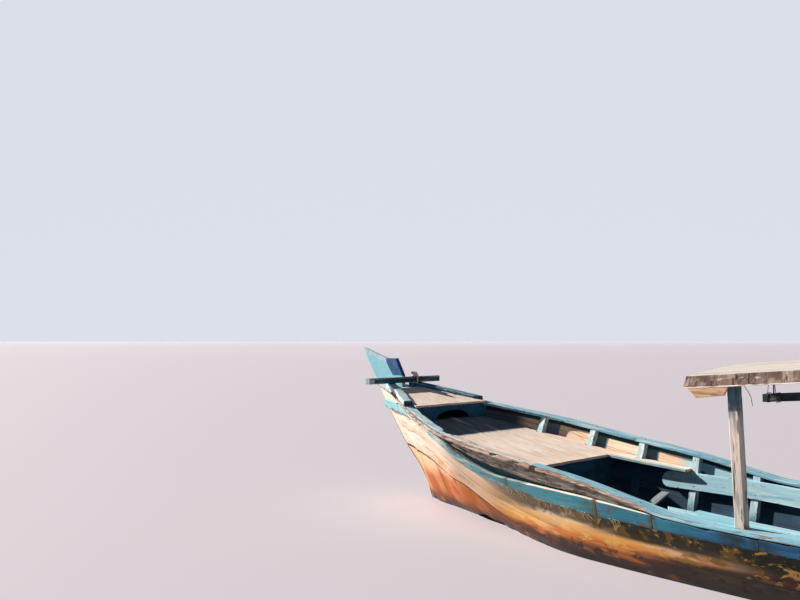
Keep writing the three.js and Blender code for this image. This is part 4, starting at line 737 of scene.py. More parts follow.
# Whitewashed hardwood post over old red paint: streaked along the grain, with dark cracks.
POST = finish("worn_post_paint", "#d2c8bd", [
    coat("#e3d3c6", (3, 30, 30), (0.42, 0.58), seed=2),
    coat("#c08a70", (2.0, 14, 14), (0.54, 0.64), strength=0.7, seed=5),
    coat("#8fa09b", (2.2, 10, 10), (0.50, 0.62), seed=8, strength=0.8),
    coat("#4a6c77", (6, 20, 14), (0.42, 0.56), [("z", 1.14, 1.34)], bias=[("z", 1.2, 1.4, 0.2)], seed=11),
    coat("#9a4a2c", (5, 26, 26), (0.58, 0.66), [("z", 0.98, 0.82)], seed=14),
    coat("#4b4037", (3, 60, 60), (0.62, 0.68), seed=17, bump=-1.0),
], grain=0.3, grain_scale=(3.5, 60, 60), depth=0.005)

# Chalked paint on roof boards: grey-white, with green and brown stains.
ROOF = finish("chalky_roof_paint", "#cfc6c0", [
    coat("#bdb7b3", (1.2, 8, 8), (0.45, 0.62), seed=2),
    coat("#8fa597", (1.6, 20, 20), (0.56, 0.64), [("x", 0.2, 0.6)], strength=0.8, seed=5),
    coat("#b7a692", (3.0, 24, 24), (0.58, 0.66), strength=0.7, seed=8),
    coat("#6d655a", (5.0, 60, 60), (0.64, 0.70), seed=11, bump=-0.5),
], grain=0.16)

# Chalked paint peeling from sawn boards: brown and cream patches with raised edges.
FASCIA = finish("chalky_fascia_paint", "#8f7668", [
    coat("#b9a193", (5, 26, 12), (0.44, 0.58), seed=2, strength=0.9),
    coat("#5b4234", (13, 12, 9), (0.42, 0.66), seed=8, strength=0.8, bump=-0.5, warp=0.5),
    coat("#35261e", (24, 12, 8), (0.56, 0.66), seed=11, strength=0.75, bump=-1.0, warp=0.5),
    coat("#d9cdc2", (6, 24, 24), (0.60, 0.68), seed=5, strength=0.8),
], grain=0.3, grain_scale=(30, 20, 10), depth=0.005)

# Sawn board in the shade, bare: plain grey.
PALE_BOARD = finish("pale_loose_board", "#7d8189", [
    coat("#8b979d", (3, 40, 20), (0.46, 0.60), seed=2),
    coat("#4a4f52", (6, 60, 60), (0.62, 0.68), seed=5),
], grain=0.3)

# Laid natural fibre rope: pale yellow, with darker strands that stand out.
ROPE = finish("yellow_brown_rope", "#fff0cc", [
    coat("#ecd9a4", (60, 60, 60), (0.54, 0.64), seed=2, bump=0.8),
    coat("#f3e5bd", (90, 90, 90), (0.52, 0.62), seed=5),
], grain=0.12, grain_scale=(120, 40, 40), source="object")

# Thin braided cord, tarred: near black, with dull flecks.
CORD = finish("dark_thin_cord", "#3b3733", [
    coat("#6d655a", (120, 120, 120), (0.55, 0.65), seed=2),
], grain=0.3, source="object")

# Frayed natural fibre: straw-coloured, with dark roots.
FIBRE = finish("frayed_yellow_fibre", "#d9b877", [
    coat("#f0e2bd", (60, 60, 60), (0.5, 0.6), seed=2),
    coat("#8f7440", (60, 60, 60), (0.6, 0.7), seed=5),
], grain=0.3, source="object")

# Forged iron nail heads, rusted: dark, with red-brown spots a few millimetres across.
NAIL = finish("rusted_nail_heads", "#2f2622", [
    coat("#7a3f22", (200, 200, 200), (0.5, 0.6), seed=2),
], grain=0.3, metal=0.6, rough=0.55, source="object")

# Welded mild steel, oily: dark grey, rust patches dull and rubbed places bright.
STEEL = finish("worn_dark_steel", "#4c4d4f", [
    coat("#73462c", (9, 9, 9), (0.52, 0.64), seed=2, strength=0.8, rough=0.85),
    coat("#8e9092", (16, 16, 16), (0.56, 0.64), seed=5, rough=0.35),
    coat("#2a2623", (24, 24, 24), (0.60, 0.68), seed=8),
], grain=0.2, grain_scale=(30, 30, 30), metal=0.75, rough=0.5, source="object", depth=0.0015)

# Cast iron in sprayed machine enamel: grey-green, glossy with oil and chipped to rust.
CASTING = finish("green_grey_engine_paint", "#5f7265", [
    coat("#2c322d", (10, 10, 10), (0.52, 0.64), seed=2, strength=0.8, rough=0.35),
    coat("#8b8f8c", (26, 26, 26), (0.62, 0.68), seed=5, rough=0.4),
    coat("#70442a", (12, 12, 12), (0.60, 0.68), seed=8, rough=0.85),
], grain=0.15, grain_scale=(60, 60, 60), metal=0.35, rough=0.5, source="object", depth=0.001)

# Blow-moulded polyethylene: faded blue, faintly mottled, scuffed pale.
TANK = finish("sun_faded_tank_plastic", "#8fb6c6", [
    coat("#6c99ad", (6, 6, 6), (0.50, 0.64), seed=2),
    coat("#c9d6da", (20, 20, 20), (0.60, 0.68), seed=5, rough=0.7),
    coat("#4b5a5f", (12, 12, 12), (0.63, 0.70), seed=8),
], grain=0.08, grain_scale=(80, 80, 80), rough=0.5, source="object", depth=0.0008)

# Cast brass in sea water: yellow, with dull green patches and bright edges.
BRASS = finish("seaworn_brass", "#b58a45", [
    coat("#5f7a5a", (22, 22, 22), (0.54, 0.64), seed=2, strength=0.7, rough=0.7),
    coat("#dcb978", (14, 14, 14), (0.55, 0.65), seed=5, rough=0.3),
], grain=0.12, grain_scale=(60, 60, 60), metal=0.9, rough=0.4, source="object", depth=0.0008)


# Mesh making

BODY_SHIFT = np.array([3.7, 1.3, 2.1])   # moves the grain from one body to the next
MIRROR_SHIFT = 0.77                      # and from a piece to its mirror image
EASED_ANGLE = math.radians(40)


def ring_faces(count, n):
    """Faces of a tube through count rings of n points, with its two ends last."""
    faces = [(i * n + j, i * n + (j + 1) % n, (i + 1) * n + (j + 1) % n, (i + 1) * n + j)
             for i in range(count - 1) for j in range(n)]
    end = (count - 1) * n
    return faces + [tuple(range(n)), tuple(end + j for j in reversed(range(n)))]


def ease_edges(obj, width):
    edges = obj.modifiers.new("edges", "BEVEL")
    edges.width = width
    edges.segments = 2
    edges.limit_method = "ANGLE"
    edges.angle_limit = EASED_ANGLE


class Solid:
    """Closed bodies gathered into one piece, each with its grain, level and wear."""

    def __init__(self):
        self.verts, self.grain, self.level, self.wear = [], [], [], []
        self.faces, self.skins = [], []
        self.count = 0
        self.bodies = 0

    def add(self, points, faces, grain, level, wear, skins):
        n = len(points)
        self.verts.append(np.asarray(points, float))
        self.grain.append(np.asarray(grain, float) + self.bodies * BODY_SHIFT)
        self.level.append(np.broadcast_to(np.asarray(level, float), n))
        self.wear.append(np.broadcast_to(np.asarray(wear, float), n))
        self.faces += [tuple(int(i) + self.count for i in f) for f in faces]
        self.skins += list(np.broadcast_to(skins, len(faces)))
        self.count += n
        self.bodies += 1

    def sweep(self, places, ring, point, skin=0):
        """A body through rings. ring(s) gives rows of (across, up, level, wear)."""
        rings = [np.asarray(ring(s), float) for s in places]
        n = len(rings[0])
        points = np.vstack([point(s, r[:, 0], r[:, 1]) for s, r in zip(places, rings)])
        rows = np.vstack(rings)
        along = np.repeat(np.asarray(places, float), n)
        skins = [skin(j) if callable(skin) else skin for _ in range(len(rings) - 1) for j in range(n)]
        skins += skins[:1] * 2
        grain = np.column_stack([along, rows[:, 0], rows[:, 1]])
        self.add(points, ring_faces(len(rings), n), grain, rows[:, 2], rows[:, 3], skins)

    def slab(self, outline, c0, c1, point):
        """A flat outline of (a, b) corners between c0 and c1."""
        flat = np.asarray(outline, float)
        n = len(flat)
        rows = np.vstack([np.column_stack([flat, np.full(n, c)]) for c in (c0, c1)])
        points = np.array([point(*row) for row in rows])
        faces = [tuple(range(n)), tuple(n + j for j in reversed(range(n)))]
        faces += [(j, n + j, n + (j + 1) % n, (j + 1) % n) for j in range(n)]
        top = flat[:, 1].max() - flat[:, 1].min()
        level = (rows[:, 1] - flat[:, 1].min()) / max(top, 1e-6)
        self.add(points, faces, rows, level, 0.5, 0)

    def tube(self, path, radius, sides=8):
        """A round body along points."""
        path = np.asarray(path, float)
        tangent = np.gradient(path, axis=0)
        tangent /= np.maximum(np.linalg.norm(tangent, axis=1), 1e-9)[:, None]
        first = np.cross(tangent[0], (0.31, 0.17, 0.94))
        side = first / np.linalg.norm(first)
        points, grain, along = [], [], 0.0
        for i, (p, t) in enumerate(zip(path, tangent)):
            side = side - t * (side @ t)
            side /= np.linalg.norm(side)
            up = np.cross(t, side)
            if i:
                along += float(np.linalg.norm(p - path[i - 1]))
            for j in range(sides):
                turn = 2 * math.pi * j / sides
                points.append(p + radius * (math.cos(turn) * side + math.sin(turn) * up))
                grain.append((along, math.cos(turn) * radius, math.sin(turn) * radius))
        self.add(points, ring_faces(len(path), sides), grain, 0.5, 0.3, 0)

    def mirror(self):
        """The same bodies on the other side of the centre plane."""
        other = Solid()
        other.verts = [v * np.array([1, -1, 1]) for v in self.verts]
        other.grain = [g + MIRROR_SHIFT for g in self.grain]
        other.level, other.wear = list(self.level), list(self.wear)
        other.faces = [tuple(reversed(f)) for f in self.faces]
        other.skins, other.count, other.bodies = list(self.skins), self.count, self.bodies
        return other

    def piece(self, name, materials, slot, body="hull", replaces=(), bevel=0.0, smooth=0):
        mesh = bpy.data.meshes.new(name)
        mesh.from_pydata(np.vstack(self.verts).tolist(), [], self.faces)
        for kind, label, data in (
            ("FLOAT_VECTOR", "grain", np.vstack(self.grain).ravel()),
            ("FLOAT", "level", np.concatenate(self.level)),
            ("FLOAT", "wear", np.concatenate(self.wear)),
        ):
            attribute = mesh.attributes.new(label, kind, "POINT")
            attribute.data.foreach_set("vector" if kind == "FLOAT_VECTOR" else "value", data)
        for m in materials if isinstance(materials, list) else [materials]:
            mesh.materials.append(m)
        mesh.polygons.foreach_set("material_index", [int(s) for s in self.skins])
        bm = bmesh.new()
        bm.from_mesh(mesh)
        bmesh.ops.recalc_face_normals(bm, faces=bm.faces)
        bm.to_mesh(mesh)
        bm.free()
        obj = add_object(name, mesh)
        if bevel:
            ease_edges(obj, bevel)
        if smooth:
            mesh.shade_smooth()
            mesh.set_sharp_from_angle(angle=math.radians(smooth))
        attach(obj, body)
        if replaces:
            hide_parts(*replaces)
        return obj


EDGE = 0.004                  # how wide a board's corners are eased
BAND = 0.016                  # how far in from a corner the wear reaches
CHIP_SCALE, CHIP_FROM, CHIP_MOST = 9.0, 0.25, 0.6


def plank(a0, a1, b0, b1, edge=EDGE, band=BAND):
    """A board's section with eased corners, as rows of (across, up, level, wear)."""
    e = min(edge, (a1 - a0) / 4, (b1 - b0) / 4)
    ba, bb = min(band, (a1 - a0) * 0.4), min(band, (b1 - b0) * 0.4)
    ba, bb = max(ba, e * 1.3), max(bb, e * 1.3)
    rows = []
    for a, b, da, db in ((a0, b0, 1, 1), (a1, b0, -1, 1), (a1, b1, -1, -1), (a0, b1, 1, -1)):
        corner = [(a, b + db * bb, 0), (a, b + db * e, 1), (a + da * e, b, 1), (a + da * ba, b, 0)]
        rows += corner if da == db else list(reversed(corner))
    height = max(b1 - b0, 1e-6)
    return np.array([(a, b, (b - b0) / height, w) for a, b, w in rows])


def chipped(rows, s, depth, seed=0, sides=(1, 1, 1, 1)):
    """The section with pieces broken out of its worn corners."""
    rows = rows.copy()
    middle = rows[:, :2].mean(axis=0)
    for j in range(len(rows)):
        corner = j // 4
        if rows[j, 3] < 1 or not sides[corner]:
            continue
        bite = wander_at(s, CHIP_SCALE, seed + corner)
        bite += 0.5 * wander_at(s, CHIP_SCALE * 3.1, seed + corner + 9)
        push = max(bite - CHIP_FROM, 0) * depth
        away = middle - rows[j, :2]
        size = np.linalg.norm(away)
        rows[j, :2] += away / size * min(push, size * CHIP_MOST)
    return rows


def on_x(s, a, b):
    """A place along the hull, across it and up."""
    return np.column_stack([np.full(len(a), STEM_X - s), a, b])


def pair(solid, name, materials, slot, nodes=(), **settings):
    """A port piece and its like to starboard."""
    for side, one in (("port", solid), ("starboard", solid.mirror())):
        one.piece(f"{name}_{side}", materials, slot, replaces=[f"{n}_{side}" for n in nodes], **settings)


def paint(name, material):
    """A finish on a piece that stays as the frame has it."""
    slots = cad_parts[name].data.materials
    slots.clear()
    slots.append(material)


# Hull: side planking

FINE = 0.06
PLANK_FORE = -0.950
INNER_PLANKS = 5
GROOVE = 0.004                # half the width, and the depth, of the groove between planks
SEAM_SINK = 0.005
SHADE_BAND = 0.048            # painted shade: dark paint on the inner planking just under the rail
OUTER_COUNT = 14              # points of the ring on its outer face
LOWER_COUNT = 7               # those below the strake's foot


def planking_ring(s):
    z = levels(s)
    rows = []
    outer = [(4, 0, SEAM_SINK), (4, 0.006, 0), (4.5, 0, 0), (5, -GROOVE, 0), (5, 0, GROOVE), (5, GROOVE, 0)]
    outer += [(k / 2, 0, 0) for k in range(11, 19)]
    last = -9.0
    for k, dz, sink in outer:
        height = min(max(float(np.interp(k, LEVELS, z)) + dz, last + 1e-4), z[TOP])
        last = height
        rows.append((float(half_breadth(s, height)) - sink, height, k, 1.0 if sink else 0.2))
    inner = []
    step = (z[TOP] - z[SEAM]) / INNER_PLANKS
    for j in range(INNER_PLANKS + 1):
        edge = z[TOP] - j * step
        if j in (0, INNER_PLANKS):
            inner.append((edge, 0, 0.2))
            if j == 0:
                inner.append((edge - SHADE_BAND, 0, 0.2))
            continue
        inner += [(edge + GROOVE, 0, 0.3), (edge, GROOVE, 1), (edge - GROOVE, 0, 0.3)]
    for height, sink, wear in inner:
        height = min(max(height, z[SEAM]), z[TOP])
        y = max(float(half_breadth(s, height)) - WALL, STEM_HALF + GAP) + sink
        k = float(np.interp(height, z, LEVELS))
        rows.append((y, height, k, wear))
    return np.array(rows)


def planking_skin(j):
    """Hull paint up to the strake, dark recess paint above it, painted shade just under the rail inside,
    inner paint behind.
    """
    if j < LOWER_COUNT:
        return 0
    return 2 if j < OUTER_COUNT - 1 or j == OUTER_COUNT else 1


LEVEL_GRAIN = 0.13            # grain width of one level, in metres


class Grained(Solid):
    """A solid whose grain runs along the levels of the hull."""

    def add(self, points, faces, grain, level, wear, skins):
        grain = np.array(grain, float)
        grain[:, 1] = 0
        grain[:, 2] = np.asarray(level, float) * LEVEL_GRAIN
        super().add(points, faces, grain, level, wear, skins)


planking = Grained()
planking.sweep(spread(PLANK_FORE, TRANSOM_S, FINE), planking_ring, on_x, planking_skin)
pair(planking, "side_planking", [HULL_OUTER, HULL_INNER, RECESS_AND_RAIL_SHADE], "plank_paint",
     ["side_planks_fore", "side_planks_aft"], smooth=35)


# Hull: keel log, solid at the nose and hollow behind it

LOG_FORE = -0.440
GROOVE_START = 0.075
GROOVE_FULL = 0.220
LEAST_GROOVE = 0.05
LOG_LEVELS = [0, 0.5, 1, 1.5, 2, 2.5, 3, 3.25, 3.5, 3.75, 4]
LOG_EDGE = 3.9                # levels above this are the log's eased upper corner


def log_section(s):
    z = levels(s)
    seam = skin_point(s, SEAM)
    top = seam[1] - GAP / 2
    low = []
    for k in LOG_LEVELS:
        y, height = skin_point(s, k)
        if k == 0:
            y = min(STEM_HALF, y + 0.002)
        low.append((y, height if k < SEAM else top, k))
    low.append(low.pop())
    edge = max(low[-1][1] - 0.012, low[-2][1] + 1e-4)
    low[-1:] = [(float(half_breadth(s, edge)), edge, 3.96), (low[-1][0] - 0.006, top, 4)]
    inner = []
    for y, height, k in low:
        if seam[0] < GROOVE_FULL:
            q = max((seam[0] - GROOVE_START) / GROOVE_FULL, LEAST_GROOVE)
            inner.append((0.0 if k == 0 else y * q, top - (seam[1] - height) * q, k))
        elif k >= LOG_EDGE:
            inner.append((max(y - WALL, 0), height, k))
        else:
            inside = skin_point(s, k, WALL)
            inner.append((inside[0], inside[1], k))
    side = [(y, h, k, 0.2 if k < LOG_EDGE else 1.0) for y, h, k in low]
    hollow = [(y, h, k, 0.0) for y, h, k in inner]
    port = list(reversed(side))
    starboard = [(-y, h, k, w) for y, h, k, w in side]
    back = [(-y, h, k, w) for y, h, k, w in reversed(hollow[1:])]
    return np.array(port + starboard + back + hollow)


log = Grained()
log_sides = len(LOG_LEVELS) + 1
log.sweep(spread(LOG_FORE, TRANSOM_S, FINE), log_section, on_x, lambda j: 0 if j < 2 * log_sides else 1)
log.piece("keel_log_timber", [LOG, HULL_INNER], "log_wood", replaces=["keel_log"], smooth=35)


# Caulking in the seam between the log and the planks, ragged at the bow

CAULK_FORE, CAULK_AFT = -0.43, 3.0
CAULK_WIDTHS = [CAULK_FORE, 0.25, 0.8, CAULK_AFT], [1.7, 1.5, 0.8, 0.3]


def seam_ring(s):
    z = levels(s)[SEAM]
    fore = float(np.interp(s, *CAULK_WIDTHS))
    half = (0.010 + 0.007 * wander_at(s, 11, 3)) * fore
    rows = []
    for dz, out in ((-half, -0.002), (-half * 0.5, 0.002), (half * 0.5, 0.002), (half, -0.002)):
        height = max(z + dz + 0.004 * wander_at(s, 7, 5), float(KEEL(s)) + 0.002)
        rows.append((float(half_breadth(s, height)) + out, height, 0.5, 0.5))
    rows += [(r[0] - 0.006, r[1], 0.5, 0.5) for r in reversed(rows)]
    return np.array(rows)


caulking = Solid()
caulking.sweep(spread(CAULK_FORE, CAULK_AFT, 0.03), seam_ring, on_x)
pair(caulking, "seam_caulking", SEAM_TAR, "log_wood")


# Rubbing strakes in lengths, with butt joints


def strip_ring(low, high, proud, s, depth, seed, sides=(0, 1, 1, 0)):
    """A strip on the planking between two levels, its outer corners chipped."""
    z = levels(s)
    b0, b1 = z[low], z[high]
    a0, a1 = float(half_breadth(s, b0)), float(half_breadth(s, b1))
    rows = chipped(plank(0.0, proud, b0, b1), s, depth, seed=seed, sides=sides)
    t = (rows[:, 1] - b0) / max(b1 - b0, 1e-6)
    rows[:, 0] += a0 + (a1 - a0) * t + GAP
    return rows


WALE_PROUD = 0.050
WALE_JOINTS = [-0.780, 0.62, 1.800, 2.760, 3.250, 4.02, 5.5, 7.1, TRANSOM_S]
BUTT = 0.0025                 # half the gap at a butt joint
strakes = Solid()
for i, (s0, s1) in enumerate(zip(WALE_JOINTS, WALE_JOINTS[1:])):
    strakes.sweep(spread(s0 + BUTT, s1 - BUTT, 0.045),
                  lambda s: strip_ring(FOOT, WALE, WALE_PROUD, s, 0.010, 30 + i), on_x)
pair(strakes, "rubbing_strake", WALE_PAINT, "wale_paint", ["wale"], smooth=40)


# Bare plank under the rail at the fore shoulder, split and chipped

BULWARK_PROUD = 0.025
BULWARK_JOINTS = [0.760, 2.290, 2.960, 3.180]
LOWER = (1, 1, 0, 0)          # the corners of a section that are chipped: both lower ones
shoulder = Solid()
for i, (s0, s1) in enumerate(zip(BULWARK_JOINTS, BULWARK_JOINTS[1:])):
    places = spread(s0 + BUTT, s1 - BUTT, 0.02)
    shoulder.sweep(places, lambda s: strip_ring(
        RECESS_FOOT, TOP, BULWARK_PROUD, s, 0.030, 50 + i, LOWER), on_x)
pair(shoulder, "shoulder_plank", BARE, "bare_wood", ["bulwark"], smooth=40)


# Cap rails: port in three lengths with a weathered outer edge, starboard whole


def rail_ring(s, inner, outer, depth=0.006, seed=0, sides=(1, 1, 1, 1), sink=0.0):
    """Part of the rail board's width, between two shares of it counted from its inner edge."""
    y, z = cap_line(s)
    a0 = max(y - CAP_WIDTH, STEM_HALF + GAP)
    lo, hi = a0 + (y - a0) * inner, a0 + (y - a0) * outer
    return chipped(plank(lo, hi, z - CAP_THICK, z - sink), s, depth, seed=seed, sides=sides)


EDGE_FROM, EDGE_TO = -0.45, 3.22
EDGE_GROWS, EDGE_FADES, EDGE_MOST, EDGE_LEAST = 0.8, 0.9, 0.30, 0.02
AFT_EDGE = 0.97               # where the narrow edge strip behind it begins


def edge_share(s):
    """Share of the port rail's width that the weathered edge strip takes."""
    t = min(max((s - EDGE_FROM) / EDGE_GROWS, 0), 1)
    u = min(max((EDGE_TO - s) / EDGE_FADES, 0), 1)
    return EDGE_MOST * t * u + EDGE_LEAST


NOTCH_FROM, NOTCH_TO, NOTCH_DEPTH, NOTCH_RAGGED = 0.93, 1.13, 0.34, 0.22


def inner_share(s):
    """Where the port rail's inner edge lies: it is broken away at the notch."""
    if s < NOTCH_FROM or s > NOTCH_TO:
        return 0.0
    return NOTCH_DEPTH + NOTCH_RAGGED * wander_at(s, 32, 4)


def port_board(s, seed):
    return rail_ring(s, inner_share(s), 1 - edge_share(s) - 0.012, seed=seed, depth=0.010)


def port_edge(s):
    return rail_ring(s, 1 - edge_share(s), 1, seed=82, depth=0.022, sink=0.003, sides=(0, 1, 1, 0))


RAIL_JOINTS = [PLANK_FORE, 1.05, 2.13, TRANSOM_S]
FAR_RAIL_JOINTS = [PLANK_FORE, 1.9, 4.7, TRANSOM_S]
rail_port, rail_starboard = Solid(), Solid()
notch = [NOTCH_FROM, NOTCH_FROM + 0.01, NOTCH_TO, NOTCH_TO + 0.01]
for i, (s0, s1) in enumerate(zip(RAIL_JOINTS, RAIL_JOINTS[1:])):
    places = spread(s0 + BUTT, s1 - BUTT, 0.03, notch)
    rail_port.sweep(places, lambda s: port_board(s, 70 + 4 * i), on_x, i)
rail_port.sweep(spread(PLANK_FORE, EDGE_TO, 0.02), port_edge, on_x, 3)
places = spread(EDGE_TO + 0.002, TRANSOM_S, 0.06)
rail_port.sweep(places, lambda s: rail_ring(s, AFT_EDGE, 1, seed=86), on_x, 2)
rail_port.piece("cap_rail_boards_port", [RAIL, RAIL_BARE, RAIL_AFT, RAIL_EDGE], "rail_paint",
                replaces=["cap_rail_port"], smooth=40)
for i, (s0, s1) in enumerate(zip(FAR_RAIL_JOINTS, FAR_RAIL_JOINTS[1:])):
    places = spread(s0 + BUTT, s1 - BUTT, 0.05)
    rail_starboard.sweep(places, lambda s: rail_ring(s, 0, 1, seed=90 + 4 * i), on_x)
rail_starboard.mirror().piece("cap_rail_boards_starboard", FAR_RAIL, "rail_paint",
                              replaces=["cap_rail_starboard"], smooth=40)


# Prow board with its painted bands

PROW_TIP, PROW_BAND_LOW = (-1.279, 1.636), (-1.243, 1.578)
PROW_A, PROW_A_LOW, PROW_A_AFT = (-0.856, 1.512), (-0.846, 1.462), (-0.685, 1.515)
BEAM_FORE_S = -0.563
PROW_SLOT_TOP, PROW_SLOT_LOW = (-0.565, 1.3165), (-0.565, 1.190)
PROW_B = (-0.732, 1.316)
PROW_STEM = [(-1.202, 1.512), (-1.062, 1.319), (-0.973, 1.214)]
PROW_FOOT = [(-0.848, 1.026), (-0.774, 0.930), (-0.613, 0.720), (-0.466, 0.549), (-0.330, 0.549)]
PROW_PARTS = [                # corners of each painted area, and its finish
    ([PROW_TIP, PROW_BAND_LOW, PROW_A_LOW, PROW_A], 1),
    ([PROW_A, PROW_A_LOW, PROW_B, PROW_SLOT_TOP, PROW_A_AFT], 2),
    ([PROW_BAND_LOW, *PROW_STEM, *PROW_FOOT, PROW_SLOT_LOW, PROW_SLOT_TOP, PROW_B, PROW_A_LOW], 0),
]


def prow_piece():
    bm = bmesh.new()
    grain = bm.verts.layers.float_vector.new("grain")
    level = bm.verts.layers.float.new("level")
    wear = bm.verts.layers.float.new("wear")
    known = {}
    for corners, skin in PROW_PARTS:
        ring = []
        for s, z in corners:
            if (s, z) not in known:
                known[(s, z)] = bm.verts.new((STEM_X - s, -STEM_HALF, z))
            ring.append(known[(s, z)])
        bm.faces.new(ring).material_index = skin
    made = bmesh.ops.extrude_face_region(bm, geom=bm.faces[:])["geom"]
    for v in made:
        if isinstance(v, bmesh.types.BMVert):
            v.co.y = STEM_HALF
    for v in bm.verts:
        v[grain] = (v.co.z, v.co.y, v.co.x)
        v[level] = 0.5
        v[wear] = 0.2
    bmesh.ops.recalc_face_normals(bm, faces=bm.faces)
    mesh = bpy.data.meshes.new("prow_board_painted")
    bm.to_mesh(mesh)
    bm.free()
    for m in (PROW, PROW_TOP, PROW_BAND):
        mesh.materials.append(m)
    obj = add_object("prow_board_painted", mesh)
    ease_edges(obj, EDGE)
    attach(obj, "hull")
    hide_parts("prow_board")


prow_piece()


# Crossbeam, with a rope lashed round it

BEAM_X0, BEAM_X1 = 4.797, 4.863
BEAM_Z0, BEAM_Z1 = 1.2386, 1.3045
BEAM_STARBOARD, BEAM_PORT = -0.514, 0.578
BEAM_WORN = range(9, 15)      # sides of its section that rope has rubbed: the top with its corners


def beam_point(y, a, b):
    return np.column_stack([a, np.full(len(a), y), b])


beam = Solid()
beam.sweep(spread(BEAM_STARBOARD, BEAM_PORT, 0.03),
           lambda y: chipped(plank(BEAM_X0, BEAM_X1, BEAM_Z0, BEAM_Z1, 0.005), y, 0.012, seed=110),
           beam_point, lambda j: int(j in BEAM_WORN))
beam.piece("crossbeam_timber", [DARK_TEAL, BEAM_TOP], "dark_paint", replaces=["crossbeam"], smooth=40)

ROPE_RADIUS, KNOT_RADIUS = 0.004, 0.0085
KNOT = (4.820, -0.130, BEAM_Z1 + 0.030)
KNOT_REACH = (0.022, 0.036, 0.022)
TURNS, TURN_STEPS, TURN_PITCH, TURN_HALF = 2, 24, 0.010, 0.0375
rope = Solid()
path = []
for i in range(TURNS * TURN_STEPS + 1):
    turn = 2 * math.pi * i / TURN_STEPS
    ca, sa = math.cos(turn), math.sin(turn)
    reach = TURN_HALF / max(abs(ca), abs(sa)) ** 0.9   # a circle drawn out to the beam's square
    y = KNOT[1] - TURN_PITCH * i / TURN_STEPS
    path.append((KNOT[0] + ca * reach, y, (BEAM_Z0 + BEAM_Z1) / 2 + sa * reach))
rope.tube(path, ROPE_RADIUS)
for seed, reach in ((0.0, 1.0), (1.3, 0.9), (2.9, 0.8)):
    loop = [(KNOT[0] + KNOT_REACH[0] * reach * math.cos(t * 1.9 + seed),
             KNOT[1] + KNOT_REACH[1] * reach * math.sin(t * 1.1 + seed),
             KNOT[2] + KNOT_REACH[2] * reach * math.sin(t * 2.3 + seed)) for t in np.linspace(0, 6.2, 50)]
    rope.tube(loop, KNOT_RADIUS)
rope.piece("beam_lashing", ROPE, "deck_wood", smooth=60)


# Toe rails

TOE_INSET, TOE_WIDTH = 0.015, 0.120
TOE_FORE, TOE_AFT, TOE_FORE_HEIGHT, TOE_AFT_HEIGHT = -0.610, 0.110, 0.062, 0.048
TOE_END = TOE_AFT - 0.025     # the dark aft end begins here


def toe_ring(s):
    y, z = cap_line(s)
    high = float(np.interp(s, [TOE_FORE, TOE_AFT], [TOE_FORE_HEIGHT, TOE_AFT_HEIGHT]))
    rows = plank(y - TOE_INSET - TOE_WIDTH, y - TOE_INSET, z + GAP, z + high, 0.006)
    return chipped(rows, s, 0.014, seed=120)


for side, material in (("port", TOE_PAINT), ("starboard", TOE_FAR)):
    toe = Solid()
    toe.sweep(spread(TOE_FORE, TOE_END, 0.03), toe_ring, on_x)
    toe.sweep([TOE_END + 0.0005, TOE_AFT], toe_ring, on_x, 1)
    one = toe if side == "port" else toe.mirror()
    one.piece(f"toe_rail_block_{side}", [material, DARK_TEAL], "rail_paint",
              replaces=[f"toe_rail_{side}"], smooth=40)


# Boards laid side by side, cut to an edge

LEAST_BOARD = 0.012           # a strip narrower than this isn't laid
BOARD_LIFT = 0.0015           # how much one board lies lower than the next


def laid(solid, s0, s1, half, top, thick, width, step=0.05, extra=(), seed=0, gap=0.003, ragged=0.0):
    """Boards along the hull between s0 and s1, out to half(s) on both sides of the centre."""
    places = np.array(spread(s0, s1, step, extra))
    edge = np.array([half(s) for s in places])
    count = int(math.ceil(edge.max() / width))
    for n in range(-count, count):
        y0, y1 = n * width + gap / 2, (n + 1) * width - gap / 2
        near = min(abs(y0), abs(y1)) if y0 * y1 > 0 else 0
        room = edge > near + LEAST_BOARD
        lift = BOARD_LIFT * wander_at(n, 3.3, seed)
        end = abs(ragged * wander_at(n, 5.7, seed + 1))

        def ring(s, y0=y0, y1=y1, lift=lift):
            h = float(np.interp(s, places, edge))
            a0, a1 = max(y0, -h), min(y1, h)
            z = float(top(s)) - max(lift, 0)
            return plank(a0, max(a1, a0 + 0.006), z - thick + max(-lift, 0), z, 0.0025, 0.01)

        for fits, run in groupby(zip(places, room), key=lambda row: row[1]):
            run = [s for s, _ in run]
            if not fits or len(run) < 2:
                continue
            if ragged and run[-1] == places[-1]:
                run = [*run[:-1], run[-1] - end] if run[-1] - end > run[-2] else run[:-1]
            solid.sweep(run, ring, on_x)


BEAM_AFT_S = BEAM_FORE_S + 0.066
foredeck = Solid()
laid(foredeck, BEAM_AFT_S + 0.004, 0.210, lambda s: cap_line(s)[0] - TOE_INSET - TOE_WIDTH - 0.002,
     lambda s: cap_line(s)[1] + 0.022, thick=0.0217, width=0.118, seed=130, ragged=0.02)
foredeck.piece("foredeck_boards", DECK_WOOD, "deck_wood", replaces=["foredeck"], smooth=40)

DECK_THICK = 0.025
DECK_FORE, DECK_AFT, SHELF_AFT = -0.040, 1.720, 2.640
NOTCH = RIB_WIDTH / 2 + 0.001


def deck_edge(s):
    z = float(DECK(s)) - DECK_THICK
    edge = float(inner_breadth(s, z, WALL + 0.005))
    for r in RIBS:
        if abs(s - r) <= NOTCH:
            return edge - RIB_DEPTH - 0.006
    return edge


RIB_CUTS = [r + d for r in RIBS[:4] for d in (-NOTCH - 0.0005, -NOTCH, NOTCH, NOTCH + 0.0005)]
deck = Solid()
laid(deck, DECK_FORE, DECK_AFT, deck_edge, DECK, DECK_THICK, 0.142, 0.06, RIB_CUTS, seed=140, ragged=0.008)

SHELF_INNER, SHELF_NARROWS = 0.700, 0.100


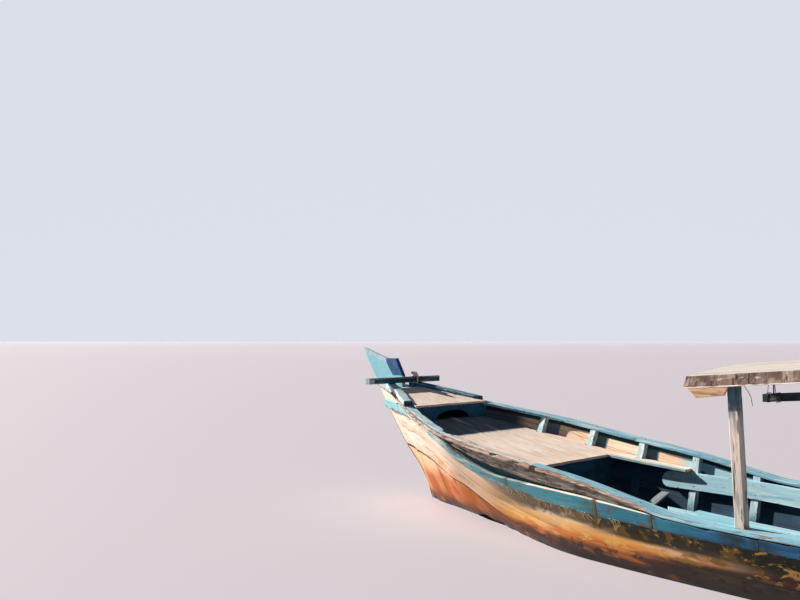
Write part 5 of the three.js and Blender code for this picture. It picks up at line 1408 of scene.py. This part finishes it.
def shelf_ring(s, share0, share1):
    a0 = SHELF_INNER + SHELF_NARROWS * max((s - DECK_AFT) / (SHELF_AFT - DECK_AFT), 0)
    a1 = deck_edge(s)
    z = float(DECK(s))
    return plank(a0 + (a1 - a0) * share0, a0 + (a1 - a0) * share1, z - DECK_THICK, z, 0.003, 0.012)


shelf_places = spread(DECK_AFT + 0.002, RIBS[3] - NOTCH - 0.001, 0.06, RIB_CUTS)
for side in (1, -1):
    for share0, share1, skin in ((0.0, 0.22, 1), (0.24, 1.0, 0)):
        deck.sweep(shelf_places, lambda s: shelf_ring(s, share0, share1),
                   lambda s, a, b: on_x(s, side * a, b), skin)
deck.piece("main_deck_boards", [DECK_WOOD, SHELF_EDGE], "deck_wood", replaces=["main_deck"], smooth=40)


# Ribs and stringers

RIB_LEVELS = np.linspace(3, 9, 25)
RIB_EDGE = 0.005
RIB_SECTION = [               # across, inwards, wear: in shares of half the width and of the depth
    (-1, 0, 0.2), (1, 0, 0.2), (1, 0.5, 0), (1, 1, 1),
    (0.6, 1, 0.3), (-0.6, 1, 0.3), (-1, 1, 1), (-1, 0.5, 0)]


def rib_body(solid, s, seed):
    """One rib, swept up the section between its two flat faces."""
    def ring(k):
        outer = skin_point(s, k, WALL + 0.0006)
        inner = skin_point(s, k, WALL + RIB_DEPTH)
        wobble = 0.0015 * wander_at(k + seed, 3.0, seed)
        rows = []
        for u, t, w in RIB_SECTION:
            p = outer + (inner - outer) * t
            x = u * (RIB_WIDTH / 2 - (RIB_EDGE if w == 1 else 0))
            rows.append((STEM_X - s + x * 0.998 + (wobble if t else 0), p[0], p[1], w))
        return rows
    rows = np.array([row for k in RIB_LEVELS for row in ring(k)])
    grain = rows[:, [2, 0, 1]]
    solid.add(rows[:, :3], ring_faces(len(RIB_LEVELS), len(RIB_SECTION)), grain, 0.5, rows[:, 3], 0)


RIB_FACES = [f for r in RIBS for f in (r - RIB_WIDTH / 2, r + RIB_WIDTH / 2)]
STRINGER_FORE, STRINGER_AFT = 2.250, RIBS[-1] + 0.090
BILGE_FORE = RIBS[0] - 0.060
STRINGER_DEPTH, STRINGER_THICK, STRINGER_ROUND = 0.155, 0.024, 0.075
BILGE_DEPTH, BILGE_THICK = 0.070, 0.034
STRINGER_SINK = 0.006         # how far a stringer is let into the ribs


def rib_to_rib(line, first, s):
    """A line that runs straight from rib to rib."""
    stops = sorted({first, STRINGER_AFT, *[f for f in RIB_FACES if first < f < STRINGER_AFT]})
    return float(np.interp(s, stops, line(np.array(stops))))


def stringer_top(s):
    return rib_to_rib(STRINGER_TOP, STRINGER_FORE, s)


def bilge_top(s):
    return rib_to_rib(BILGE_TOP, BILGE_FORE, s)


def stringer_ring(s, top, depth, thick, round_end=0.0):
    z1, z0 = top, top - depth
    if round_end:
        t = min(max((s - STRINGER_FORE) / round_end, 0.03), 1)
        lift = (1 - math.sqrt(1 - (1 - t) ** 2)) * depth * 0.5
        z1, z0 = z1 - lift, z0 + lift
    rows = plank(0, thick, z0, z1, 0.004)
    y = np.array([float(inner_breadth(s, z, WALL + RIB_DEPTH - STRINGER_SINK)) for z in rows[:, 1]])
    rows[:, 0] = y - rows[:, 0]
    return rows


frames = Solid()
for i, s in enumerate(RIBS):
    rib_body(frames, s, 150 + i)
end_places = [STRINGER_FORE + v for v in (0, 0.003, 0.008, 0.016, 0.03, 0.05, STRINGER_ROUND)]
end_places = sorted({*end_places, *spread(STRINGER_FORE + STRINGER_ROUND, STRINGER_AFT, 0.1)})
upper, lower = (STRINGER_DEPTH, STRINGER_THICK, STRINGER_ROUND), (BILGE_DEPTH, BILGE_THICK)
frames.sweep(end_places, lambda s: stringer_ring(s, stringer_top(s), *upper), on_x, 1)
bilge_places = spread(BILGE_FORE, STRINGER_AFT, 0.12)
frames.sweep(bilge_places, lambda s: stringer_ring(s, bilge_top(s), *lower), on_x, 1)
pair(frames, "frames", [RIB_PAINT, STRINGER_PAINT], "rib_paint", ["ribs"], smooth=40)


# Bulkheads, transom and aft deck


def arch(y, foot, half, rise, steps=28):
    """Corners of a low arched opening, from starboard to port."""
    turns = [math.pi * i / steps for i in range(steps + 1)]
    return [(y - half * math.cos(turn), foot + rise * math.sin(turn)) for turn in turns]


def across(s0):
    return lambda y, z, c: (STEM_X - s0 - c, y, z)


FORE_BULKHEAD_S, AFT_BULKHEAD_S, BULKHEAD_THICK = 0.186, 7.600, 0.022
fore_foot = float(DECK(FORE_BULKHEAD_S)) + 0.001
fore_top = cap_line(FORE_BULKHEAD_S + BULKHEAD_THICK)[1] - 0.0006
fore_shoulder = fore_top - CAP_THICK - 0.002
fore_cap = cap_line(FORE_BULKHEAD_S)[0] - CAP_WIDTH - 0.002


def fore_half(z):
    return float(inner_breadth(FORE_BULKHEAD_S, z, WALL + 0.002))


fore_panel = Solid()
side_line = [(fore_half(z), z) for z in np.linspace(fore_foot, fore_shoulder, 6)]
fore_outline = [(-y, z) for y, z in side_line[:1]] + arch(-0.025, fore_foot, 0.255, 0.095) + side_line
fore_outline += [(fore_cap, fore_shoulder), (fore_cap, fore_top)]
fore_outline += [(-fore_cap, fore_top), (-fore_cap, fore_shoulder)]
fore_outline += [(-y, z) for y, z in reversed(side_line[1:])]
fore_panel.slab(fore_outline, 0, BULKHEAD_THICK, across(FORE_BULKHEAD_S))
fore_panel.piece("fore_bulkhead_panel", BULKHEAD, "dark_paint", replaces=["fore_bulkhead"], bevel=0.003)

# Brushed oil paint on the two plain bulkheads: blue-grey with lighter rubs.
BULKHEAD_CAD = finish("blue_grey_panel_paint", "#1c5874", [
    coat("#123f57", (4, 4, 8), (0.46, 0.6), seed=2),
    coat("#5f8a94", (10, 10, 20), (0.64, 0.70), strength=0.7, seed=5),
], grain=0.25, source="object", grain_scale=(20, 3, 60))
for name in ("mid_bulkhead", "aft_bulkhead"):
    paint(name, BULKHEAD_CAD)

transom = Solid()
stern_levels = [skin_point(TRANSOM_S - TRANSOM_THICK, k, WALL + 0.0012) for k in np.linspace(0, 9, 28)]
stern_levels[0][0] = 0.0
PANEL_ROWS, PANEL_GAP = 5, 0.0015
keel_z, head_z = stern_levels[0][1] + 0.001, stern_levels[-1][1]
for n in range(PANEL_ROWS):
    z0 = keel_z + (head_z - keel_z) * n / PANEL_ROWS + (PANEL_GAP if n else 0)
    z1 = keel_z + (head_z - keel_z) * (n + 1) / PANEL_ROWS - PANEL_GAP
    heights = [z0, *[p[1] for p in stern_levels if z0 + 0.004 < p[1] < z1 - 0.004], z1]
    halves = np.interp(heights, [p[1] for p in stern_levels], [p[0] for p in stern_levels])
    side = [(max(float(y), 0.002), z) for y, z in zip(halves, heights)]
    outline = side + [(-y, z) for y, z in reversed(side)]
    transom.slab(outline, 0.0003, TRANSOM_THICK, across(TRANSOM_S - TRANSOM_THICK))
transom.piece("transom_boards", WALE_PAINT, "wale_paint", replaces=["transom"], bevel=0.003)

AFT_DECK_TOP, AFT_DECK_THICK = 0.515, 0.030


def aft_deck_edge(s):
    under_rail = cap_line(s)[0] - CAP_WIDTH - 0.002
    return min(under_rail, float(inner_breadth(s, AFT_DECK_TOP - AFT_DECK_THICK, WALL + 0.002)))


aft_deck = Solid()
laid(aft_deck, AFT_BULKHEAD_S - 0.015, TRANSOM_S - TRANSOM_THICK - GAP, aft_deck_edge,
     lambda s: AFT_DECK_TOP, AFT_DECK_THICK, 0.150, 0.08, seed=160)
aft_deck.piece("aft_deck_boards", DECK_WOOD, "deck_wood", replaces=["aft_deck"], smooth=40)


# Floorboards, side deck, and a loose board low in the cockpit

FLOOR_THICK, FLOOR_FORE, FLOOR_AFT = 0.022, DECK_AFT + 0.020, STRINGER_AFT - 0.005


def floor_half(s):
    z = bilge_top(s) + GAP
    return float(inner_breadth(s, z, WALL + RIB_DEPTH + 0.0043)) - 0.004


floor = Solid()
laid(floor, FLOOR_FORE, FLOOR_AFT, floor_half, lambda s: bilge_top(s) + GAP + FLOOR_THICK,
     FLOOR_THICK, 0.165, 0.1, seed=170, gap=0.006)
floor.piece("floorboards_laid", FLOOR_WOOD, "deck_wood", replaces=["floorboards"], smooth=40)

SIDE_FORE, SIDE_FULL, SIDE_STEP, SIDE_AFT, SIDE_THICK = 3.200, 3.310, 3.400, 6.300, 0.022
SIDE_INNER = [SIDE_FORE, SIDE_STEP, SIDE_STEP + 0.001], [0.730, 0.715, 0.640]


def side_ring(s, share0=0.0, share1=1.0):
    inner = float(np.interp(s, *SIDE_INNER))
    slant = min(max((s - SIDE_FORE) / (SIDE_FULL - SIDE_FORE), 0.02), 1)
    outer = inner + (cap_line(s)[0] - CAP_WIDTH - 0.0015 - inner) * slant
    z = stringer_top(s) + GAP
    rows = plank(inner + (outer - inner) * share0, inner + (outer - inner) * share1, z, z + SIDE_THICK, 0.003)
    return chipped(rows, s, 0.006, seed=180)


side_deck = Solid()
side_deck.sweep(spread(SIDE_FORE, SIDE_STEP, 0.02), side_ring, on_x)
for share0, share1 in ((0, 0.49), (0.5, 1)):
    side_deck.sweep(spread(SIDE_STEP + 0.002, SIDE_AFT, 0.08), lambda s: side_ring(s, share0, share1), on_x)
side_deck.piece("side_deck_boards", SIDE_DECK_PAINT, "rail_paint", replaces=["side_deck_port"], smooth=40)


# Canopy

ROOF_FORE, ROOF_AFT, ROOF_HALF, ROOF_EDGE = 3.545, 6.420, 1.070, 1.504
ROOF_RISE, ROOF_CROWN, ROOF_THICK, ROOF_BEAM_DEPTH = 0.09, 0.071, 0.022, 0.060


def roof_edge(s):
    return ROOF_EDGE + ROOF_RISE * (s - ROOF_FORE)


def roof_top(s, y):
    return roof_edge(s) + ROOF_CROWN * (1 - (np.asarray(y) / ROOF_HALF) ** 2) - 0.0022


FASCIA_THICK, FASCIA_DEPTH, FASCIA_LEAD, LEAD_LENGTH = 0.024, 0.085, 0.028, 0.4
UNDER_ROOF = ROOF_HALF - FASCIA_THICK - GAP
ROOF_BOARDS, ROOF_BOARD_GAP, ROOF_LAP = 14, 0.002, 0.0012
roof = Solid()
for n in range(ROOF_BOARDS):
    y0 = -UNDER_ROOF + 2 * UNDER_ROOF * n / ROOF_BOARDS + ROOF_BOARD_GAP / 2
    y1 = -UNDER_ROOF + 2 * UNDER_ROOF * (n + 1) / ROOF_BOARDS - ROOF_BOARD_GAP / 2
    lap = ROOF_LAP * (n % 3)

    def roof_ring(s, y0=y0, y1=y1, lap=lap, n=n):
        rows = plank(y0, y1, -ROOF_THICK + 0.0025, -lap, 0.003, 0.02)
        if n in (0, ROOF_BOARDS - 1):
            rows = chipped(rows, s, 0.012, seed=190)
        return rows

    fore = ROOF_FORE + 0.004 * abs(wander_at(n, 3, 2))
    roof.sweep(spread(fore, ROOF_AFT, 0.12), roof_ring, lambda s, a, b: on_x(s, a, roof_top(s, a) + b))
roof.piece("roof_boards", ROOF, "roof_paint", replaces=["roof_panel"], smooth=40)

ROOF_YS = np.linspace(-ROOF_HALF, ROOF_HALF, 13)


def faceted_top(s, y):
    """Height of the roof's top along the flats between the lines of its crown."""
    return roof_edge(s) + np.interp(y, ROOF_YS, ROOF_CROWN * (1 - (ROOF_YS / ROOF_HALF) ** 2))


def fascia_point(s, a, b):
    """b is 0 at the fascia's foot and its depth at the top; the fore end slants."""
    t = min(max((s - ROOF_FORE) / LEAD_LENGTH, 0), 1)
    lead = FASCIA_LEAD * (1 - t) * (1 - b / FASCIA_DEPTH)
    foot = roof_edge(s) - FASCIA_DEPTH
    return np.column_stack([STEM_X - s + lead, a, foot + b - ROOF_RISE * lead])


LIP = 0.009                   # height of the pale strip along the fascia's foot
fascias = Solid()


def fascia_ring(s, outer, low, high, edge, depth, seed):
    return chipped(plank(ROOF_HALF - FASCIA_THICK, outer, low, high, edge), s, depth, seed=seed)


for skin, row in enumerate(((ROOF_HALF - 0.005, LIP, FASCIA_DEPTH, 0.003, 0.008, 200),
                            (ROOF_HALF, 0, LIP - 0.0005, 0.002, 0.004, 204))):
    fascias.sweep(spread(ROOF_FORE, ROOF_AFT, 0.04), lambda s: fascia_ring(s, *row), fascia_point, skin)

# Brushed oil paint on the fascia's foot: off-white, with brown scuffs.
LIP_PAINT = finish("white_lip_paint", "#efe9df", [
    coat("#9c8672", (6, 40, 40), (0.56, 0.64), seed=2),
], grain=0.15)
pair(fascias, "fascia_board", [FASCIA, LIP_PAINT], "roof_paint", ["fascia"], smooth=40)


def fascia_foot(s):
    return roof_edge(s) - FASCIA_DEPTH - GAP


def on_side(s, z, y):
    return (STEM_X - s, y, z)


BRACKET_FORE, BRACKET_AFT, BRACKET_DEPTH = 3.555, 3.845, 0.062
BRACKET_FORE_TAPER, BRACKET_AFT_TAPER = 0.060, 0.030
BRACKET = [(BRACKET_FORE, fascia_foot(BRACKET_FORE)), (BRACKET_AFT, fascia_foot(BRACKET_AFT)),
           (BRACKET_AFT - BRACKET_AFT_TAPER, fascia_foot(BRACKET_AFT) - BRACKET_DEPTH),
           (BRACKET_FORE + BRACKET_FORE_TAPER, fascia_foot(BRACKET_FORE) - BRACKET_DEPTH)]
brackets = Solid()
brackets.slab(BRACKET, ROOF_HALF - FASCIA_THICK, ROOF_HALF - 0.002, on_side)
pair(brackets, "bracket_panel", CREAM_TIMBER, "deck_wood", ["bracket_board"], bevel=0.003)

POST_HALF, POST_FOOT_Y, POST_TOP_Y, POST_LEAN = 0.036, 0.955, 0.985, -0.025
ROOF_BEAM_HALF = 0.0225
POSTS = [("fore", 3.875, 3.840), ("aft", 6.125, 6.090)]
for label, s, beam_s in POSTS:
    foot = max(float(CAP_HEIGHT(s - POST_HALF)), float(CAP_HEIGHT(s + POST_HALF))) + GAP
    head = float(faceted_top(beam_s - ROOF_BEAM_HALF, POST_TOP_Y + POST_HALF))
    head = head - ROOF_THICK - ROOF_BEAM_DEPTH - 2 * GAP

    def post_ring(z):
        rows = plank(-POST_HALF, POST_HALF, -POST_HALF, POST_HALF, 0.005, 0.02)
        rows = chipped(rows, z * 1.7, 0.010, seed=210)
        rows[:, 2] = z        # a post has no levels of the hull, so its height takes their place
        return rows

    def post_point(z, a, b):
        t = (z - foot) / (head - foot)
        x = STEM_X - (s + POST_LEAN * t)
        return np.column_stack([x + a, POST_FOOT_Y + (POST_TOP_Y - POST_FOOT_Y) * t + b, np.full(len(a), z)])

    posts = Solid()
    posts.sweep(spread(foot, head, 0.03), post_ring, post_point)
    pair(posts, f"canopy_post_{label}", POST, "post_paint", [f"post_{label}"], smooth=40)

for name in ("fore", "mid", "aft"):
    # Sawn softwood, never painted: straw-coloured, its grain across the boat.
    paint(f"roof_beam_{name}", finish(f"roof_beam_timber_{name}", "#c9ab86", [
        coat("#8f6d4b", (30, 4, 30), (0.48, 0.6), seed=2),
        coat("#e0cba8", (40, 6, 40), (0.58, 0.66), seed=5),
    ], grain=0.35, source="object", grain_scale=(80, 4, 80)))

# Tarred hardwood bar: near black, teal and grey where it is rubbed.
SLUNG_DARK = finish("dark_slung_bar_paint", "#101c22", [
    coat("#22404a", (4, 20, 20), (0.5, 0.6), seed=2),
    coat("#5d5a52", (10, 40, 40), (0.64, 0.7), seed=5),
], grain=0.25)
BAR_FORE, BAR_AFT, BAR_Y, BAR_SIZE, BAR_DROP = 3.770, 5.060, 0.350, 0.060, 0.145
HANGERS, HANGER_RADIUS, HANGER_CLEAR = (3.840, 4.965), 0.005, 0.0605


def bar_top(s):
    return float(faceted_top(s, BAR_Y)) - ROOF_THICK - ROOF_BEAM_DEPTH - BAR_DROP


bar = Solid()
bar_sides = BAR_Y - BAR_SIZE / 2, BAR_Y + BAR_SIZE / 2
bar.sweep(spread(BAR_FORE, BAR_AFT, 0.08),
          lambda s: plank(*bar_sides, bar_top(s) - BAR_SIZE, bar_top(s), 0.005), on_x)
for s in HANGERS:
    z0, z1 = bar_top(s) - 0.003, float(faceted_top(s, BAR_Y)) - ROOF_THICK - HANGER_CLEAR
    bar.tube([(STEM_X - s, BAR_Y, z) for z in (z0, (z0 + z1) / 2, z1)], HANGER_RADIUS)
bar.piece("slung_bar_timber", SLUNG_DARK, "dark_paint", replaces=["slung_bar"], smooth=40)

CORD_RADIUS, CORD_SIDES = 0.0025, 6
CORD_WRAP = 0.0335            # half the width of a turn of cord round the bar
cords = Solid()
for s, lean in ((3.825, 0.02), (3.855, -0.018), (4.95, 0.02), (4.98, -0.02)):
    z0, z1 = bar_top(s), float(faceted_top(s, BAR_Y)) - ROOF_THICK - 0.03
    cords.tube([(STEM_X - s + lean * (1 - t), BAR_Y + 0.033, z0 - 0.055 + (z1 - z0 + 0.04) * t)
                for t in np.linspace(0, 1, 15)], CORD_RADIUS, CORD_SIDES)
    wrap = []
    for turn in np.linspace(0, 2 * math.pi, 41):
        ca, sa = math.cos(turn), math.sin(turn)
        most = max(abs(ca), abs(sa))
        middle = z0 - BAR_SIZE / 2
        wrap.append((STEM_X - s + lean, BAR_Y + CORD_WRAP * ca / most, middle + CORD_WRAP * sa / most))
    cords.tube(wrap, CORD_RADIUS, CORD_SIDES)
cords.piece("bar_cords", CORD, "dark_paint", smooth=60)


# Painted shadow: a dark line down the edge of the stem

# A painted shadow: a dark brown line that stands in for the shadow at the stem's edge, with paler flecks.
STEM_SHADOW_PAINT = finish("stem_edge_painted_shadow", "#31221a", [
    coat("#5b4433", (20, 20, 20), (0.52, 0.62), seed=2),
], grain=0.3)

STEM_LINE_FROM, STEM_LINE_TO, STEM_LINE_RADIUS = -0.86, -0.045, 0.0045


def stem_edge(s):
    z = float(KEEL(s)) + 0.006
    return STEM_X - s, float(half_breadth(s, z)) if s > LOG_TIP else NOSE, z


stem_path = np.array([stem_edge(s) for s in spread(STEM_LINE_FROM, STEM_LINE_TO, 0.02)])
stem_line = Solid()
stem_line.tube(stem_path + (0, 0.001, 0), STEM_LINE_RADIUS, 6)
pair(stem_line, "stem_edge_line", STEM_SHADOW_PAINT, "log_wood", smooth=60)


# A board that leans in the cockpit, from the floor to a starboard rib

BOARD_HEAD, BOARD_FOOT = np.array((2.355, -0.690, 0.300)), np.array((2.250, -0.180, 0.058))
BOARD_HALF, BOARD_THICK = 0.045, 0.020
loose = Solid()


def loose_ring(t):
    rows = plank(-BOARD_HALF, BOARD_HALF, -BOARD_THICK / 2, BOARD_THICK / 2, 0.003)
    return chipped(rows, t * 0.6, 0.010, seed=220)


def loose_point(t, a, b):
    s, y, z = BOARD_FOOT + (BOARD_HEAD - BOARD_FOOT) * t
    return np.column_stack([STEM_X - s + a, np.full(len(a), y), z + b])


loose.sweep(spread(0, 1, 0.08), loose_ring, loose_point)
loose.piece("loose_board", PALE_BOARD, "deck_wood", smooth=40)


# Frayed fibres that hang from the port strake's foot

FRAY_PLACES = [(1.78, 14), (1.95, 8), (2.18, 12), (2.32, 9), (2.45, 14), (2.62, 9), (2.92, 8)]
FRAY_REACH, FRAY_LENGTHS, FRAY_RADIUS = 0.05, (0.030, 0.085), 0.0022
fray_random = np.random.default_rng(11)
fray = Solid()
for middle, count in FRAY_PLACES:
    for _ in range(count):
        s = middle + fray_random.uniform(-FRAY_REACH, FRAY_REACH)
        z = levels(s)[FOOT] + 0.012
        length = fray_random.uniform(*FRAY_LENGTHS)
        drift = fray_random.uniform(-FRAY_REACH, FRAY_REACH)
        strand = []
        for t in np.linspace(0, 1, 6):
            height = z - length * t
            y = float(half_breadth(s, height)) + (WALE_PROUD + 0.002) * (1 - t) ** 2 + 0.004
            strand.append((STEM_X - s - drift * t * t, y, height))
        fray.tube(strand, FRAY_RADIUS, 5)
fray.piece("frayed_fibres", FIBRE, "deck_wood", smooth=60)


# Nail heads, set by Geometry Nodes

NAIL_RADIUS, NAIL_SEED, NAIL_SINK = 0.0065, 5, 0.003
NAIL_LEAST, NAIL_MOST = 0.75, 1.15       # sizes in shares of the radius
STRAKE_NAILS = (0.3, 0.72)               # shares of the strake's height
STRINGER_NAILS = ((0.035, 0.015), (0.120, -0.012))   # under the stringer's top, and forward
SIDE_DECK_NAILS, SIDE_DECK_NAILS_Y = (3.30, 3.36, 3.47, 3.62, 4.10, 4.68), 0.760


def nail_group():
    tree = bpy.data.node_groups.new("nail_heads", "GeometryNodeTree")
    sockets = {"Geometry": "NodeSocketGeometry", "Head Radius": "NodeSocketFloat", "Seed": "NodeSocketInt"}
    for label, kind in sockets.items():
        tree.interface.new_socket(label, in_out="INPUT", socket_type=kind)
    tree.interface.new_socket("Geometry", in_out="OUTPUT", socket_type="NodeSocketGeometry")
    given = node(tree, "NodeGroupInput")
    round_head = {"Radius": given.outputs["Head Radius"], "Subdivisions": 2}
    head = node(tree, "GeometryNodeMeshIcoSphere", round_head)
    spans = {2: NAIL_LEAST, 3: NAIL_MOST, "Seed": given.outputs["Seed"]}
    size = node(tree, "FunctionNodeRandomValue", spans, data_type="FLOAT")
    placed = node(tree, "GeometryNodeInstanceOnPoints", {
        "Points": given.outputs["Geometry"], "Instance": head.outputs["Mesh"], "Scale": size.outputs[1],
    })
    real = node(tree, "GeometryNodeRealizeInstances", {"Geometry": placed.outputs[0]})
    painted = node(tree, "GeometryNodeSetMaterial", {"Geometry": real.outputs[0], "Material": NAIL})
    node(tree, "NodeGroupOutput", {"Geometry": painted.outputs[0]})
    return tree


nail_spots = []
for side in (1, -1):
    for s in RIBS:
        x = STEM_X - s
        rail_y, rail_z = cap_line(s)
        nail_spots.append((x, side * (rail_y - CAP_WIDTH / 2), rail_z - NAIL_SINK))
        for share in STRAKE_NAILS:
            z = float(levels(s)[FOOT] * (1 - share) + levels(s)[WALE] * share)
            nail_spots.append((x, side * (float(half_breadth(s, z)) + WALE_PROUD - NAIL_SINK), z))
        if s > STRINGER_FORE:
            for drop, shift in STRINGER_NAILS:
                z = stringer_top(s) - drop
                y = float(inner_breadth(s, z, WALL + RIB_DEPTH - STRINGER_SINK)) - STRINGER_THICK + NAIL_SINK
                nail_spots.append((x + shift, side * y, z))
for s in SIDE_DECK_NAILS:
    nail_spots.append((STEM_X - s, SIDE_DECK_NAILS_Y, stringer_top(s) + GAP + SIDE_THICK - NAIL_SINK))

nail_points = bpy.data.meshes.new("nail_points")
nail_points.from_pydata(nail_spots, [], [])
nail_carrier = add_object("nail_carrier", nail_points)
nail_made = nail_carrier.modifiers.new("nails", "NODES")
nail_made.node_group = nail_group()
for item in nail_made.node_group.interface.items_tree:
    given = {"Head Radius": NAIL_RADIUS, "Seed": NAIL_SEED}
    if item.in_out == "INPUT" and item.name in given:
        nail_made[item.identifier] = given[item.name]
bpy.context.view_layer.update()
nail_mesh = bpy.data.meshes.new_from_object(nail_carrier.evaluated_get(bpy.context.evaluated_depsgraph_get()))
bpy.data.objects.remove(nail_carrier)
nails = add_object("nail_heads", nail_mesh)
nail_mesh.shade_smooth()
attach(nails, "hull")


# A thin wire that hangs from the roof's underside beside the port post

WIRE_THICK = 0.004
WIRE_BENDS = [(0.384, 0.980, 1.524), (0.385, 0.980, 1.475), (0.381, 0.980, 1.448), (0.352, 0.981, 1.408),
              (0.338, 0.981, 1.380), (0.334, 0.980, 1.355), (0.328, 0.980, 1.322)]
bend = np.array(WIRE_BENDS)
stations = np.linspace(0, len(bend) - 1, 25)
wire_path = np.column_stack([np.interp(stations, np.arange(len(bend)), bend[:, axis]) for axis in range(3)])
for _ in range(2):            # rounds the bends
    wire_path[1:-1] = (wire_path[:-2] + 2 * wire_path[1:-1] + wire_path[2:]) / 4
wire = Solid()
wire.tube(wire_path, WIRE_THICK / 2, 8)
wire_piece = wire.piece("post_wire", CORD, "dark_paint", smooth=60)


# Motor: the frame's own pieces, with real finishes

MOTOR_EDGE = 0.0015
MOTOR_FINISH = {
    "swivel_yoke": STEEL, "engine_cradle": STEEL, "engine_block": CASTING, "fuel_tank": TANK,
    "exhaust_pipe": STEEL, "tiller": STEEL, "tail_tube": STEEL, "propeller": BRASS,
}
for name, material in MOTOR_FINISH.items():
    paint(name, material)
    ease_edges(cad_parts[name], MOTOR_EDGE)
    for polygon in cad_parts[name].data.polygons:
        polygon.use_smooth = False

# Planed hardwood, oiled: upright brown grain with dark checks.
paint("motor_post", finish("motor_post_timber", "#b79a76", [
    coat("#8a6c4c", (30, 30, 4), (0.48, 0.6), seed=2),
    coat("#3d3126", (40, 40, 6), (0.60, 0.68), seed=5, bump=-0.6),
], grain=0.4, source="object", grain_scale=(70, 70, 4)))
